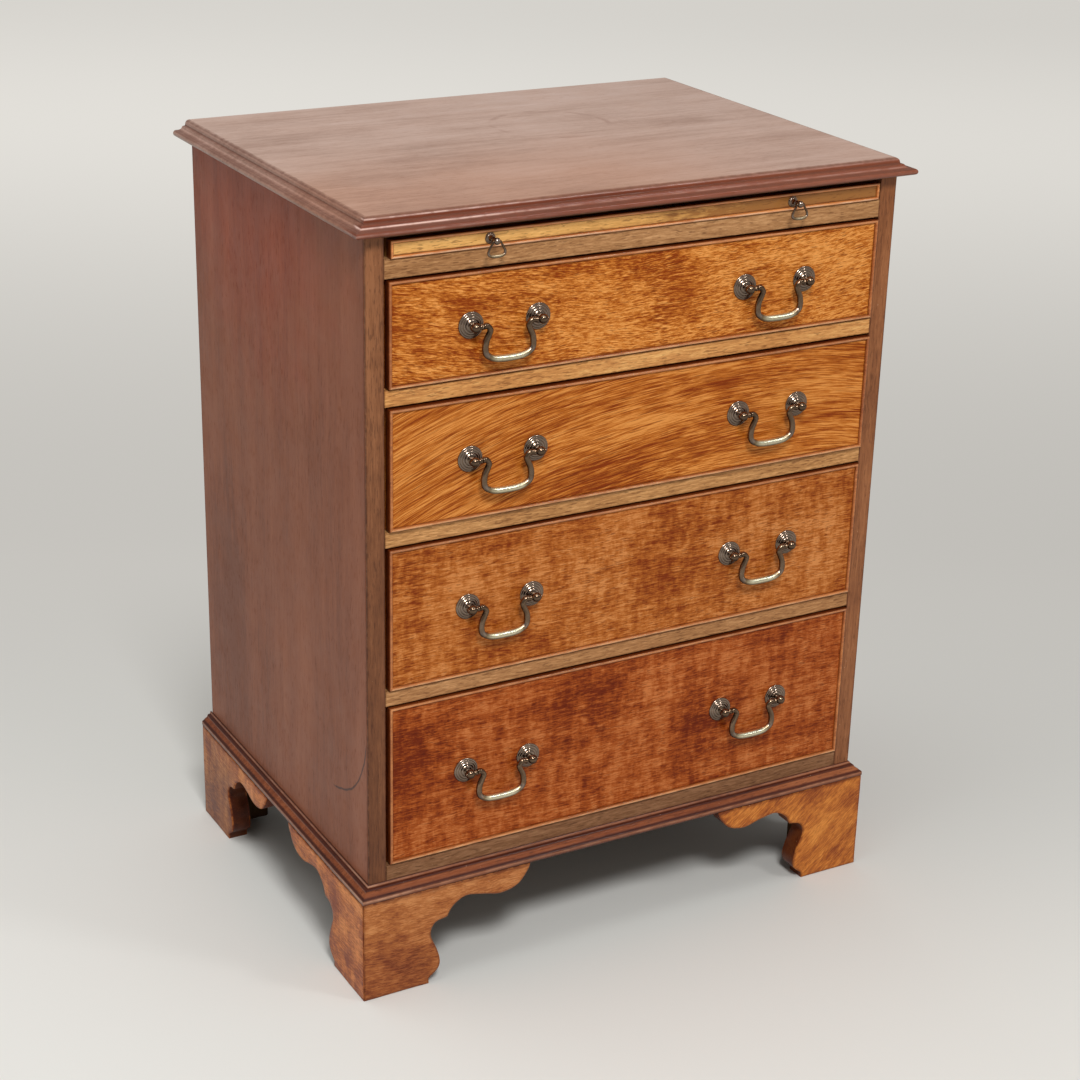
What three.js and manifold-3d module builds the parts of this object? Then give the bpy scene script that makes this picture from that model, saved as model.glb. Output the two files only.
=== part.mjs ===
// A small bachelor's chest in mahogany: four graduated drawers with cockbeads under a
// brushing slide, on ogee bracket feet, with swan-neck brass handles.
// Millimetres, +Z up, the front towards -Y. The origin is under the middle of the chest.
import * as THREE from 'three';
import { mergeVertices } from 'three/addons/utils/BufferGeometryUtils.js';
import Module from 'manifold-3d';

const wasm = await Module();
wasm.setup();

// Fits
const gap = 0.3;
const cutOverrun = 3;
const mitreRelief = gap * Math.SQRT2;
const mergeTolerance = 0.00001;

// Case
const caseWidth = 581;
const caseDepth = 420;
const sideThickness = 16;
const stileWidth = 19;
const stileDepth = 22;
const backThickness = 8;
const backRebate = 8;
const housingDepth = 5;

// Heights of the front, from the floor up: feet, moulding, then rail and opening by turns
const footHeight = 110.5;
const baseMouldingHeight = 16;
const bottomRailShow = 16;
const openingHeights = [175, 149, 123, 104.5];
const railHeights = [15.5, 15.5, 16, 18];
const slideOpening = 20;

// Dividers
const railDepth = 60;
const dustboardThickness = 10;
const bottomBoardThickness = 14;

// Top board
const topSideOverhang = 14.5;
const topFrontOverhang = 15;
const topBackOverhang = 14;
const topEdgeThickness = 16;
const topCoreDrop = 4.5;
const topFlatInset = 3.5;
const topBeadRadius = 3.2;
const topBeadSteps = 6;

// Base moulding
const baseProjection = 11.6;
const baseBackLap = 3;

// Feet
const bracketLength = 188;
const bracketThickness = 22;
const plinthHeight = 6;
const glueBlock = 34;
const backBracketThickness = 18;
const backBracketInset = 2;
const footCurveSteps = 2;

// Drawers
const drawerLeftGap = 3.6;
const drawerRightGap = 1.2;
const drawerTopGap = 2;
const drawerBottomGap = 1.2;
const frontThickness = 20;
const beadWidth = 3.2;
const beadDepth = 8;
const beadProud = 2.4;
const drawerStandsOut = [0.6, 0.8, 2, 0.8];
const boxSideThickness = 9;
const boxBottomThickness = 7;
const boxBottomLift = 8;
const boxTopDrop = 5;
const boxInset = 0.6;
const boxBackClearance = 12;
const backBoardDrop = 4;

// Brushing slide
const slideThickness = 17;
const slideLeftGap = 6;
const slideRightGap = 2.4;
const slideBeadWidth = 2.8;
const slideBackClearance = 14;

// Drawer handles. They stand at a share of the opening's half width.
const handlePlaceShare = 0.5515;
const pivotSpacing = 70;
const rosetteRadius = 13;
const rosetteThickness = 3;
const rosetteHeight = 4.4;
const postReach = 10.4;
const postRadius = 2.9;
const ballRadius = 4.8;
const shankRadius = 2.2;
const nutRadius = 5;
const nutThickness = 4.5;
const pinRadius = 2.05;
const pinClearance = 0.42;
const gripRadius = 3.2;
const bailDrop = 32.6;
const bailNeckHalf = 20.2;
const pinEnd = 0.6;
const postSides = 10;
const ballSteps = 4;
const wireSides = 6;
const bailSteps = 24;

// Slide pulls, placed in the same way
const pullPlaceShare = 0.61;
const pullRosetteRadius = 5.3;
const pullRosetteThickness = 2.4;
const pullRosetteHeight = 3.6;
const pullReach = 13.4;
const pullPostRadius = 1.7;
const pullBallRadius = 3.4;
const pullShankRadius = 1.5;
const pullShankLength = 11;
const ringWireRadius = 1.1;
const ringHalfWidth = 9;
const ringDrop = 14;
const ringPinStart = 0.9;
const ringSteps = 18;

// Sizes that follow
const halfWidth = caseWidth / 2;
const innerHalf = halfWidth - sideThickness;
const openingHalf = halfWidth - stileWidth;
const handleOffset = handlePlaceShare * openingHalf;
const pullOffset = pullPlaceShare * openingHalf;
const boardBack = caseDepth - backThickness - gap;
const caseBottom = footHeight + gap;
const levels = measureLevels();
const caseTop = levels.slideTop + topCoreDrop;
const chestHeight = caseTop + topEdgeThickness;
const handleReach = Math.max(...drawerStandsOut) + postReach + ballRadius;
const frontReach = Math.max(handleReach, pullReach + pullBallRadius);
const backReach = caseDepth + topBackOverhang;
const originDepth = (backReach - frontReach) / 2;

// Moulding outlines as shares of each moulding's own projection and height
const topEdgeShares = [[0.17, 0.08], [0.27, 0.26], [0.36, 0.38], [0.48, 0.49], [0.63, 0.58], [0.64, 0.64], [0.78, 0.66]];
const baseCoveShares = [[0.155, 1], [0.16, 0.78], [0.36, 0.63], [0.6, 0.46], [0.86, 0.34], [0.97, 0.28], [1, 0.2]];

// Foot outline as shares of the bracket's length and the foot's height
const toeShare = 0.386;
const ogeeShares = [[0.44, 0.136], [0.452, 0.226], [0.435, 0.35], [0.397, 0.52], [0.423, 0.629], [0.495, 0.662]];
const archShares = [[0.53, 0.76], [0.606, 0.828], [0.7, 0.805], [0.812, 0.76], [0.918, 0.8], [0.982, 0.923], [1, 1]];
const backBracketShares = [[0.4, 0.5], [0.5, 0.78], [0.7, 1]];

// Handle outlines as shares: the rosette's rings, the bail's and the drop's routes
const rosetteShares = [[1, 0.4], [0.82, 0.66], [0.56, 1]];
const bailShares = [[1.17, -0.02], [0.99, 0.12], [1.08, 0.27], [1.2, 0.44], [1.24, 0.66], [1.17, 0.82],
  [0.94, 0.925], [0.6, 0.985], [0, 1]];
const ringShares = [[0.5, 0.04], [0.82, 0.24], [1, 0.5], [0.84, 0.78], [0.45, 0.95], [0, 1]];

// The pale and dark tones of the woods and the patinated brass
const finishes = {
  top: { color: 0x7d5a4e, roughness: 0.38, metalness: 0 },
  side: { color: 0x5f3027, roughness: 0.42, metalness: 0 },
  stile: { color: 0x6b4a35, roughness: 0.5, metalness: 0 },
  rail: { color: 0x7a5934, roughness: 0.55, metalness: 0 },
  front: { color: 0x935a30, roughness: 0.4, metalness: 0 },
  bead: { color: 0x7a3f27, roughness: 0.35, metalness: 0 },
  slide: { color: 0xa6773f, roughness: 0.45, metalness: 0 },
  base: { color: 0x55281c, roughness: 0.4, metalness: 0 },
  foot: { color: 0x8a4d2a, roughness: 0.42, metalness: 0 },
  lining: { color: 0xa98a5e, roughness: 0.75, metalness: 0 },
  back: { color: 0x8c6f4a, roughness: 0.8, metalness: 0 },
  brass: { color: 0x5f5236, roughness: 0.4, metalness: 1 },
};

const chest = new THREE.Group();
chest.position.y = -originDepth;

function measureLevels() {
  const rails = [{ bottom: caseBottom, top: footHeight + baseMouldingHeight + bottomRailShow }];
  const openings = [];
  openingHeights.forEach((height, index) => {
    const bottom = rails[index].top;
    openings.push({ bottom, top: bottom + height });
    rails.push({ bottom: bottom + height, top: bottom + height + railHeights[index] });
  });
  return { rails, openings, slideTop: rails[openingHeights.length].top + slideOpening };
}

// Solids

function solidFrom(geometry) {
  const bare = geometry.index ? geometry.toNonIndexed() : geometry.clone();
  bare.deleteAttribute('normal');
  bare.deleteAttribute('uv');
  const merged = mergeVertices(bare, mergeTolerance);
  const mesh = new wasm.Mesh({
    numProp: 3,
    vertProperties: new Float32Array(merged.attributes.position.array),
    triVerts: new Uint32Array(merged.index.array),
  });
  return new wasm.Manifold(mesh);
}

function geometryFrom(solid) {
  const mesh = solid.getMesh();
  const geometry = new THREE.BufferGeometry();
  geometry.setAttribute('position', new THREE.BufferAttribute(mesh.vertProperties, mesh.numProp));
  geometry.setIndex(new THREE.BufferAttribute(mesh.triVerts, 1));
  return geometry;
}

function join(first, ...others) {
  const start = solidFrom(first);
  return geometryFrom(others.reduce((whole, piece) => whole.add(solidFrom(piece)), start));
}

function cut(first, ...tools) {
  const start = solidFrom(first);
  return geometryFrom(tools.reduce((whole, tool) => whole.subtract(solidFrom(tool)), start));
}

function shared(first, second) {
  return geometryFrom(solidFrom(first).intersect(solidFrom(second)));
}

function add(name, finish, geometry) {
  const mesh = new THREE.Mesh(geometry, new THREE.MeshStandardMaterial(finishes[finish]));
  mesh.name = name;
  chest.add(mesh);
}

// Shapes

function block([left, right], [front, back], [bottom, top]) {
  const geometry = new THREE.BoxGeometry(right - left, back - front, top - bottom);
  return geometry.translate((left + right) / 2, (front + back) / 2, (bottom + top) / 2);
}

function shapeOf(points) {
  return new THREE.Shape(points.map(([across, up]) => new THREE.Vector2(across, up)));
}

function placed(geometry, across, up, along, start) {
  const frame = new THREE.Matrix4().makeBasis(across, up, along).setPosition(start);
  return geometry.applyMatrix4(frame);
}

const axisX = new THREE.Vector3(1, 0, 0);
const axisY = new THREE.Vector3(0, 1, 0);
const axisZ = new THREE.Vector3(0, 0, 1);

// A (y, z) outline carried along X
function alongX(shape, from, to, curveSegments = footCurveSteps) {
  const geometry = new THREE.ExtrudeGeometry(shape, { depth: to - from, bevelEnabled: false, curveSegments });
  return placed(geometry, axisY, axisZ, axisX, axisX.clone().multiplyScalar(from));
}

// An (x, z) outline carried along Y
function alongY(shape, from, to, curveSegments = footCurveSteps) {
  const geometry = new THREE.ExtrudeGeometry(shape, { depth: to - from, bevelEnabled: false, curveSegments });
  const towardsFront = axisY.clone().negate();
  return placed(geometry, axisX, axisZ, towardsFront, axisY.clone().multiplyScalar(to));
}

// A turned profile of [radius, distance in front of the face], about a line along Y
function turned(profile, sides, x, faceY, z) {
  const points = profile.map(([radius, reach]) => new THREE.Vector2(radius, -reach)).reverse();
  return new THREE.LatheGeometry(points, sides).translate(x, faceY, z);
}

// Mirroring turns a mesh inside out, so each triangle is wound the other way
function flipped(geometry) {
  const index = geometry.index.array;
  for (let corner = 0; corner < index.length; corner += 3) {
    [index[corner + 1], index[corner + 2]] = [index[corner + 2], index[corner + 1]];
  }
  return geometry;
}

function mirroredX(geometry) {
  const solid = geometry.index ? geometry.clone() : mergeVertices(geometry, mergeTolerance);
  return flipped(solid.scale(-1, 1, 1));
}

function moveVertices(geometry, move) {
  const position = geometry.attributes.position;
  const point = new THREE.Vector3();
  for (let index = 0; index < position.count; index += 1) {
    point.fromBufferAttribute(position, index);
    move(point);
    position.setXYZ(index, point.x, point.y, point.z);
  }
  return geometry;
}

// A mitred rectangular frame facing the front. Its section is [inset from the outer edge, y].
function mitredFrame(section, [left, right], [bottom, top]) {
  const reach = right - left;
  const corners = 4;
  const profile = [section[0], ...section.toReversed()].map(([inset, y]) => new THREE.Vector2(reach - inset, y));
  const geometry = new THREE.LatheGeometry(profile, corners, Math.PI / corners);
  return moveVertices(geometry, (point) => {
    const inset = reach - Math.hypot(point.x, point.z);
    point.x = point.x > 0 ? right - inset : left + inset;
    point.z = point.z > 0 ? top - inset : bottom + inset;
  });
}

// A round wire along a route in an XZ plane, thicker towards the route's middle
function wire(route, radius, middleRadius, steps) {
  const circle = new THREE.Shape().absarc(0, 0, radius, 0, 2 * Math.PI);
  const options = { steps, extrudePath: route, curveSegments: wireSides / 2 };
  const geometry = new THREE.ExtrudeGeometry(circle, options);
  const stations = route.getSpacedPoints(steps);
  return moveVertices(geometry, (point) => {
    const distances = stations.map((station) => station.distanceTo(point));
    const nearest = distances.indexOf(Math.min(...distances));
    const swell = Math.sin((Math.PI * nearest) / steps) ** 4;
    const scale = 1 + swell * (middleRadius / radius - 1);
    point.sub(stations[nearest]).multiplyScalar(scale).add(stations[nearest]);
  });
}

// Case

// The moulded edge as [outward, down], for an overhang: small round, cove, fillets and bead
function topEdge(overhang) {
  const outward = (share) => share * (overhang + topFlatInset) - topFlatInset;
  const cove = topEdgeShares.map(([out, down]) => [outward(out), down * topEdgeThickness]);
  const bead = Array.from({ length: topBeadSteps + 1 }, (_, step) => {
    const angle = Math.PI / 2 - (Math.PI * step) / topBeadSteps;
    const across = overhang - topBeadRadius + topBeadRadius * Math.cos(angle);
    return [across, topEdgeThickness - topBeadRadius - topBeadRadius * Math.sin(angle)];
  });
  return [[-topFlatInset, 0], ...cove, ...bead];
}

// The moulding runs round three sides and meets at true mitres. The middle drops between the sides.
function topBoard() {
  const edge = (overhang) => topEdge(overhang).map(([out, down]) => [out, chestHeight - down]);
  const front = edge(topFrontOverhang).map(([out, z]) => [-out, z]);
  const frontOutline = shapeOf([...front, [backReach, caseTop], [backReach, chestHeight]]);
  const right = edge(topSideOverhang).map(([out, z]) => [halfWidth + out, z]);
  const left = right.map(([x, z]) => [-x, z]).reverse();
  const sideOutline = shapeOf([...right, ...left]);
  const reach = halfWidth + topSideOverhang + cutOverrun;
  const lengthwise = alongX(frontOutline, -reach, reach);
  const crosswise = alongY(sideOutline, -topFrontOverhang - cutOverrun, backReach);
  const coreHalf = openingHalf - gap;
  const core = block([-coreHalf, coreHalf], [0, boardBack], [levels.slideTop, caseTop + cutOverrun]);
  add('top_board', 'top', join(shared(lengthwise, crosswise), core));
}

function sidePanel() {
  const notches = levels.rails.flatMap(({ top }, index) => {
    const thickness = index === 0 ? bottomBoardThickness : dustboardThickness;
    const deep = innerHalf + housingDepth + gap;
    return [
      [innerHalf, top - thickness - gap],
      [deep, top - thickness - gap],
      [deep, top + gap],
      [innerHalf, top + gap],
    ];
  });
  const panelTop = caseTop - gap;
  const outline = [[halfWidth, caseBottom], [halfWidth, panelTop], [innerHalf, panelTop]];
  outline.push(...notches.reverse(), [innerHalf, caseBottom]);
  const panel = alongY(shapeOf(outline), stileDepth + gap, caseDepth);
  const rebate = block(
    [innerHalf - cutOverrun, innerHalf + backRebate],
    [caseDepth - backThickness - gap, caseDepth + cutOverrun],
    [caseBottom - cutOverrun, caseTop + cutOverrun],
  );
  return cut(panel, rebate);
}

function carcaseSides() {
  add('side_right', 'side', sidePanel());
  add('side_left', 'side', mirroredX(sidePanel()));
  const stile = () => block([openingHalf, halfWidth], [0, stileDepth], [caseBottom, caseTop - gap]);
  add('stile_right', 'stile', stile());
  add('stile_left', 'stile', mirroredX(stile()));
  const backHalf = innerHalf + backRebate - gap;
  const backRange = [caseDepth - backThickness, caseDepth];
  add('back_panel', 'back', block([-backHalf, backHalf], backRange, [caseBottom, caseTop - gap]));
}

// Each rail carries the board behind it, housed in the sides
function dividers() {
  const names = ['bottom_rail_and_board', 'rail_3_and_dustboard', 'rail_2_and_dustboard'];
  names.push('rail_1_and_dustboard', 'slide_rail_and_dustboard');
  levels.rails.forEach(({ bottom, top }, index) => {
    const lowest = index === 0;
    const thickness = lowest ? bottomBoardThickness : dustboardThickness;
    const railHalf = openingHalf - gap;
    const boardHalf = innerHalf + housingDepth;
    const rail = block([-railHalf, railHalf], [0, lowest ? stileDepth : railDepth], [bottom, top]);
    const neck = block([-railHalf, railHalf], [0, stileDepth + cutOverrun], [top - thickness, top]);
    const board = block([-boardHalf, boardHalf], [stileDepth + gap, boardBack], [top - thickness, top]);
    add(names[index], 'rail', join(rail, neck, board));
  });
}

// Base

function baseMouldings() {
  const cove = baseCoveShares.map(([out, up]) => [out * baseProjection, footHeight + up * baseMouldingHeight]);
  const mouldingTop = footHeight + baseMouldingHeight;
  const section = [[gap, caseBottom], [gap, mouldingTop]];
  section.push(...cove, [baseProjection, caseBottom]);
  const frontShape = shapeOf(section.map(([out, z]) => [-out, z]));
  const front = moveVertices(alongX(frontShape, -halfWidth, halfWidth), (point) => {
    point.x -= Math.sign(point.x) * point.y;
  });
  add('base_moulding_front', 'base', front);
  const sideShape = shapeOf(section.map(([out, z]) => [halfWidth + out, z]));
  const side = () => moveVertices(alongY(sideShape, 0, caseDepth + baseBackLap), (point) => {
    if (point.y < mitreRelief) point.y = halfWidth - point.x + mitreRelief;
  });
  add('base_moulding_right', 'base', side());
  add('base_moulding_left', 'base', mirroredX(side()));
}

// A bracket's outline, measured from the foot's outer corner
function bracketShape() {
  const place = ([along, up]) => new THREE.Vector2(along * bracketLength, up * footHeight);
  const toe = toeShare * bracketLength;
  const shape = new THREE.Shape();
  shape.moveTo(0, 0).lineTo(toe, 0).lineTo(toe, plinthHeight);
  shape.splineThru(ogeeShares.map(place));
  shape.splineThru(archShares.map(place));
  shape.lineTo(0, footHeight);
  return shape;
}

function backBracketShape(start) {
  const place = ([along, up]) => new THREE.Vector2(start + along * bracketLength, up * footHeight);
  const shape = new THREE.Shape();
  const toe = start + toeShare * bracketLength - bracketThickness;
  shape.moveTo(start, 0).lineTo(toe, 0).lineTo(toe, plinthHeight);
  shape.splineThru(backBracketShares.map(place));
  shape.lineTo(start, footHeight);
  return shape;
}

// Right-hand feet, made with the corner at the origin and turned where they need it
function frontFoot() {
  const outerX = halfWidth + baseProjection;
  const sideBracket = alongX(bracketShape(), -bracketThickness, 0);
  sideBracket.translate(outerX, -baseProjection, 0);
  const frontBracket = mirroredX(alongY(bracketShape(), 0, bracketThickness));
  frontBracket.translate(outerX, -baseProjection, 0);
  return join(sideBracket, frontBracket, cornerBlock(bracketThickness - baseProjection, 1));
}

function cornerBlock(innerY, direction) {
  const innerX = halfWidth + baseProjection - bracketThickness;
  const overlap = bracketThickness / 2;
  const range = [innerY - direction * overlap, innerY + direction * glueBlock].sort((a, b) => a - b);
  return block([innerX - glueBlock, innerX + overlap], range, [plinthHeight, footHeight]);
}

function backFoot() {
  const outerX = halfWidth + baseProjection;
  const backEnd = caseDepth + baseBackLap;
  const sideBracket = alongX(bracketShape(), 0, bracketThickness);
  sideBracket.rotateZ(Math.PI).translate(outerX, backEnd, 0);
  const bracketBack = backEnd - backBracketInset;
  const innerStart = bracketThickness / 2;
  const plainBracket = mirroredX(alongY(backBracketShape(innerStart), -backBracketThickness, 0));
  plainBracket.translate(outerX, bracketBack, 0);
  return join(sideBracket, plainBracket, cornerBlock(bracketBack - backBracketThickness, -1));
}

function feet() {
  add('foot_front_right', 'foot', frontFoot());
  add('foot_front_left', 'foot', mirroredX(frontFoot()));
  add('foot_back_right', 'foot', backFoot());
  add('foot_back_left', 'foot', mirroredX(backFoot()));
}

// Drawers and slide

// A front whose edge is rebated all round for its bead, with a board or thick edge behind
function rebatedFront(across, [faceY, backY], upright, width) {
  const inset = ([low, high]) => [low + width + gap, high - width - gap];
  const shoulder = faceY + beadDepth;
  const field = block(inset(across), [faceY, shoulder + cutOverrun], inset(upright));
  return join(field, block(across, [shoulder, backY], upright));
}

function beadFrame(across, faceY, upright, width) {
  const radius = width / 2;
  const noseSteps = 4;
  const nose = Array.from({ length: noseSteps + 1 }, (_, step) => {
    const angle = (Math.PI * step) / noseSteps;
    return [radius - radius * Math.cos(angle), faceY - beadProud + radius - radius * Math.sin(angle)];
  });
  const heel = faceY + beadDepth - gap;
  return mitredFrame([[0, heel], ...nose, [width, heel]], across, upright);
}

function shankHole(x, z, radius, [front, back]) {
  const hole = new THREE.CylinderGeometry(radius, radius, back - front, postSides);
  return hole.translate(x, (front + back) / 2, z);
}

function drawerBox(backOfFront, bottom, top) {
  const outside = [drawerLeftGap + boxInset - openingHalf, openingHalf - drawerRightGap - boxInset];
  const between = [outside[0] + boxSideThickness, outside[1] - boxSideThickness];
  const back = boardBack - boxBackClearance;
  const innerBack = back - boxSideThickness;
  const start = backOfFront + gap;
  const floor = bottom + boxBottomLift;
  const inside = [start - cutOverrun, innerBack];
  const body = block(outside, [start, back], [bottom, top]);
  const hollow = block(between, inside, [floor + boxBottomThickness, top + cutOverrun]);
  const under = block(between, [start - cutOverrun, back + cutOverrun], [bottom - cutOverrun, floor]);
  const lowBack = block(between, [innerBack - cutOverrun, back + cutOverrun],
    [top - backBoardDrop, top + cutOverrun]);
  return cut(body, hollow, under, lowBack);
}

function drawer(number, opening, standsOut) {
  const across = [drawerLeftGap - openingHalf, openingHalf - drawerRightGap];
  const upright = [opening.bottom + drawerBottomGap, opening.top - drawerTopGap];
  const faceY = -standsOut;
  const backY = faceY + frontThickness;
  const middle = (upright[0] + upright[1]) / 2;
  const pivots = [];
  for (const [hand, centre] of [['left', -handleOffset], ['right', handleOffset]]) {
    pivots.push({ name: `drawer_${number}_${hand}_post_outer`, x: centre + Math.sign(centre) * pivotSpacing / 2 });
    pivots.push({ name: `drawer_${number}_${hand}_post_inner`, x: centre - Math.sign(centre) * pivotSpacing / 2 });
    add(`drawer_${number}_${hand}_bail`, 'brass', bail(centre, faceY - postReach, middle));
  }
  const holeRange = [faceY - cutOverrun, backY + cutOverrun];
  const holes = pivots.map(({ x }) => shankHole(x, middle, shankRadius + gap, holeRange));
  add(`drawer_${number}_front`, 'front', cut(rebatedFront(across, [faceY, backY], upright, beadWidth), ...holes));
  add(`drawer_${number}_cockbead`, 'bead', beadFrame(across, faceY, upright, beadWidth));
  add(`drawer_${number}_box`, 'lining', drawerBox(backY, opening.bottom + gap, opening.top - boxTopDrop));
  pivots.forEach(({ name, x }) => add(name, 'brass', handlePost(x, faceY, middle)));
}

function drawers() {
  const count = levels.openings.length;
  levels.openings.forEach((opening, index) => drawer(count - index, opening, drawerStandsOut[index]));
}

function brushingSlide() {
  const across = [slideLeftGap - openingHalf, openingHalf - slideRightGap];
  const bottom = levels.rails[openingHeights.length].top + gap;
  const upright = [bottom, bottom + slideThickness];
  const back = boardBack - slideBackClearance;
  const middle = bottom + slideThickness / 2;
  const holes = [-pullOffset, pullOffset].map((x) => (
    shankHole(x, middle, pullShankRadius + gap, [-cutOverrun, pullShankLength + gap])
  ));
  add('slide_board', 'slide', cut(rebatedFront(across, [0, back], upright, slideBeadWidth), ...holes));
  add('slide_bead', 'bead', beadFrame(across, 0, upright, slideBeadWidth));
  for (const [hand, x] of [['left', -pullOffset], ['right', pullOffset]]) {
    add(`slide_pull_${hand}`, 'brass', slidePull(x, middle));
    add(`slide_ring_${hand}`, 'brass', slideRing(x, middle));
  }
}

// Brass

function ballProfile(neckRadius, radius, reach) {
  const first = Math.asin(neckRadius / radius);
  return Array.from({ length: ballSteps + 1 }, (_, step) => {
    const angle = first + ((Math.PI - first) * step) / ballSteps;
    return [radius * Math.sin(angle), reach - radius * Math.cos(angle)];
  }).map(([across, along], step) => [step === ballSteps ? 0 : across, along]);
}

function pinHole(x, y, z, radius, length) {
  const hole = new THREE.CylinderGeometry(radius, radius, length, postSides);
  return hole.rotateZ(Math.PI / 2).translate(x, y, z);
}

// Nut, shank, rosette, post and ball in one, drilled for the bail's pin
function handlePost(x, faceY, z) {
  const nutFace = -frontThickness - gap;
  const rings = rosetteShares.map(([across, up]) => [across * rosetteRadius, up * rosetteThickness]);
  const profile = [[0, nutFace - nutThickness], [nutRadius, nutFace - nutThickness], [nutRadius, nutFace]];
  profile.push([shankRadius, nutFace], [shankRadius, gap], [rosetteRadius, gap], ...rings);
  profile.push([postRadius, rosetteHeight], ...ballProfile(postRadius, ballRadius, postReach));
  const post = turned(profile, postSides, x, faceY, z);
  return cut(post, pinHole(x, faceY - postReach, z, pinRadius + pinClearance, 2 * (ballRadius + cutOverrun)));
}

function mirroredRoute(right) {
  const left = right.slice(0, -1).map((point) => new THREE.Vector3(-point.x, point.y, point.z));
  return new THREE.CatmullRomCurve3([...right, ...left.reverse()], false, 'centripetal');
}

function bail(x, y, z) {
  const pinTip = pivotSpacing / 2 + ballRadius + pinEnd;
  const pinInner = pivotSpacing / 2 - ballRadius;
  const right = [[pinTip, 0], [pivotSpacing / 2, 0], [pinInner, 0]];
  right.push(...bailShares.map(([across, down]) => [across * bailNeckHalf, -down * bailDrop]));
  const points = right.map(([across, up]) => new THREE.Vector3(across, y, z + up));
  return wire(mirroredRoute(points), pinRadius, gripRadius, bailSteps).translate(x, 0, 0);
}

function slidePull(x, z) {
  const rings = rosetteShares.map(([across, up]) => [across * pullRosetteRadius, up * pullRosetteThickness]);
  const profile = [[0, -pullShankLength], [pullShankRadius, -pullShankLength], [pullShankRadius, gap]];
  profile.push([pullRosetteRadius, gap], ...rings, [pullPostRadius, pullRosetteHeight]);
  profile.push(...ballProfile(pullPostRadius, pullBallRadius, pullReach));
  const pull = turned(profile, postSides, x, 0, z);
  return cut(pull, pinHole(x, -pullReach, z, ringWireRadius + gap, 2 * (pullBallRadius + cutOverrun)));
}

// The drop's two ends turn in and sit in the ball from either side
function slideRing(x, z) {
  const right = [[ringPinStart, 0], [pullBallRadius, 0]];
  right.push(...ringShares.map(([across, down]) => [across * ringHalfWidth, -down * ringDrop]));
  const points = right.map(([across, up]) => new THREE.Vector3(across, -pullReach, z + up));
  return wire(mirroredRoute(points), ringWireRadius, ringWireRadius, ringSteps).translate(x, 0, 0);
}

topBoard();
carcaseSides();
dividers();
baseMouldings();
feet();
drawers();
brushingSlide();

export default chest;
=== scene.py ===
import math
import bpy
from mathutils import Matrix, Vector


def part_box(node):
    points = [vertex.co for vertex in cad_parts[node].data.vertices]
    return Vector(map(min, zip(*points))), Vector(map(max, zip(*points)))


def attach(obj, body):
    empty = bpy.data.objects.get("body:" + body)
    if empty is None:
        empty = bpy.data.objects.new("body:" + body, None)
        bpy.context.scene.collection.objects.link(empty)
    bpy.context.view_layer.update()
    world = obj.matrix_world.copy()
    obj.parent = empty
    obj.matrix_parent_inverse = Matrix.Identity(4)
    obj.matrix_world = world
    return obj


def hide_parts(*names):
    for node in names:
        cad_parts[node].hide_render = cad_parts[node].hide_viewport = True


bl_info = {
    "name": "Mahogany bachelor's chest",
    "version": (1, 0, 0),
    "blender": (4, 5, 0),
    "location": "3D View > Sidebar > Chest",
    "description": "Builds a small four-drawer chest with a brushing slide round its packed frame",
    "category": "Object",
}

import bmesh
import bpy
from bpy.props import FloatProperty, FloatVectorProperty, PointerProperty
from mathutils import Matrix, Vector, geometry, noise

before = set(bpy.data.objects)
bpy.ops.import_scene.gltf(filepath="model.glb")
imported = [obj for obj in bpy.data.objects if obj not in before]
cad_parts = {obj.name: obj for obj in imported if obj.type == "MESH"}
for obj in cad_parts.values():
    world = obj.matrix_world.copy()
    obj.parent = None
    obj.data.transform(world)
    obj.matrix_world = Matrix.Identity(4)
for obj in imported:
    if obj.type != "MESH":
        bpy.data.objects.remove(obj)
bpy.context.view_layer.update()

MM = 0.001


# Values from the frame


def span(node, axis):
    low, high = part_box(node)
    return low[axis], high[axis]


def spans(node):
    return [span(node, axis) for axis in range(3)]


CASE_FRONT = span("stile_left", 1)[0]
CASE_BACK = span("back_panel", 1)[1]
CASE_LEFT = span("stile_left", 0)[0]
CASE_RIGHT = span("stile_right", 0)[1]
OPENING_LEFT = span("stile_left", 0)[1]
OPENING_RIGHT = span("stile_right", 0)[0]
SIDE_THICKNESS = span("side_left", 0)[1] - CASE_LEFT
FOOT_TOP = span("foot_front_left", 2)[1]
TOP_UNDERSIDE = span("stile_left", 2)[1] + 0.3 * MM
DRAWERS = (1, 2, 3, 4)
HANDS = ("left", "right")


def tone(red, green, blue):
    """A colour as light, from the numbers of a colour picker"""
    def light(level):
        share = level / 255
        return share / 12.92 if share <= 0.04045 else ((share + 0.055) / 1.055) ** 2.4
    return (light(red), light(green), light(blue))


def scaled(colour, factors):
    return tuple(min(1.0, level * factor) for level, factor in zip(colour, factors))


def clamp(value):
    return max(0.0, min(1.0, value))


# Sizes and colours that a user would change


def length(name, description, default):
    return FloatProperty(name=name, description=description, default=default, min=0.0, subtype="DISTANCE",
                         unit="LENGTH")


def colour(name, description, default):
    return FloatVectorProperty(name=name, description=description, default=default, min=0.0, max=1.0, size=3,
                               subtype="COLOR")


class ChestSizes(bpy.types.PropertyGroup):
    """Sizes of the boards' rounding and of the beads"""
    arris: length("Arris", "Rounding of the boards' edges", 0.7 * MM)
    worn_arris: length("Worn arris", "Rounding of the edges that hands and feet touch", 1.1 * MM)
    bead_nose: length("Bead nose", "Radius of the cockbead's rounded front", 1.6 * MM)


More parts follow.
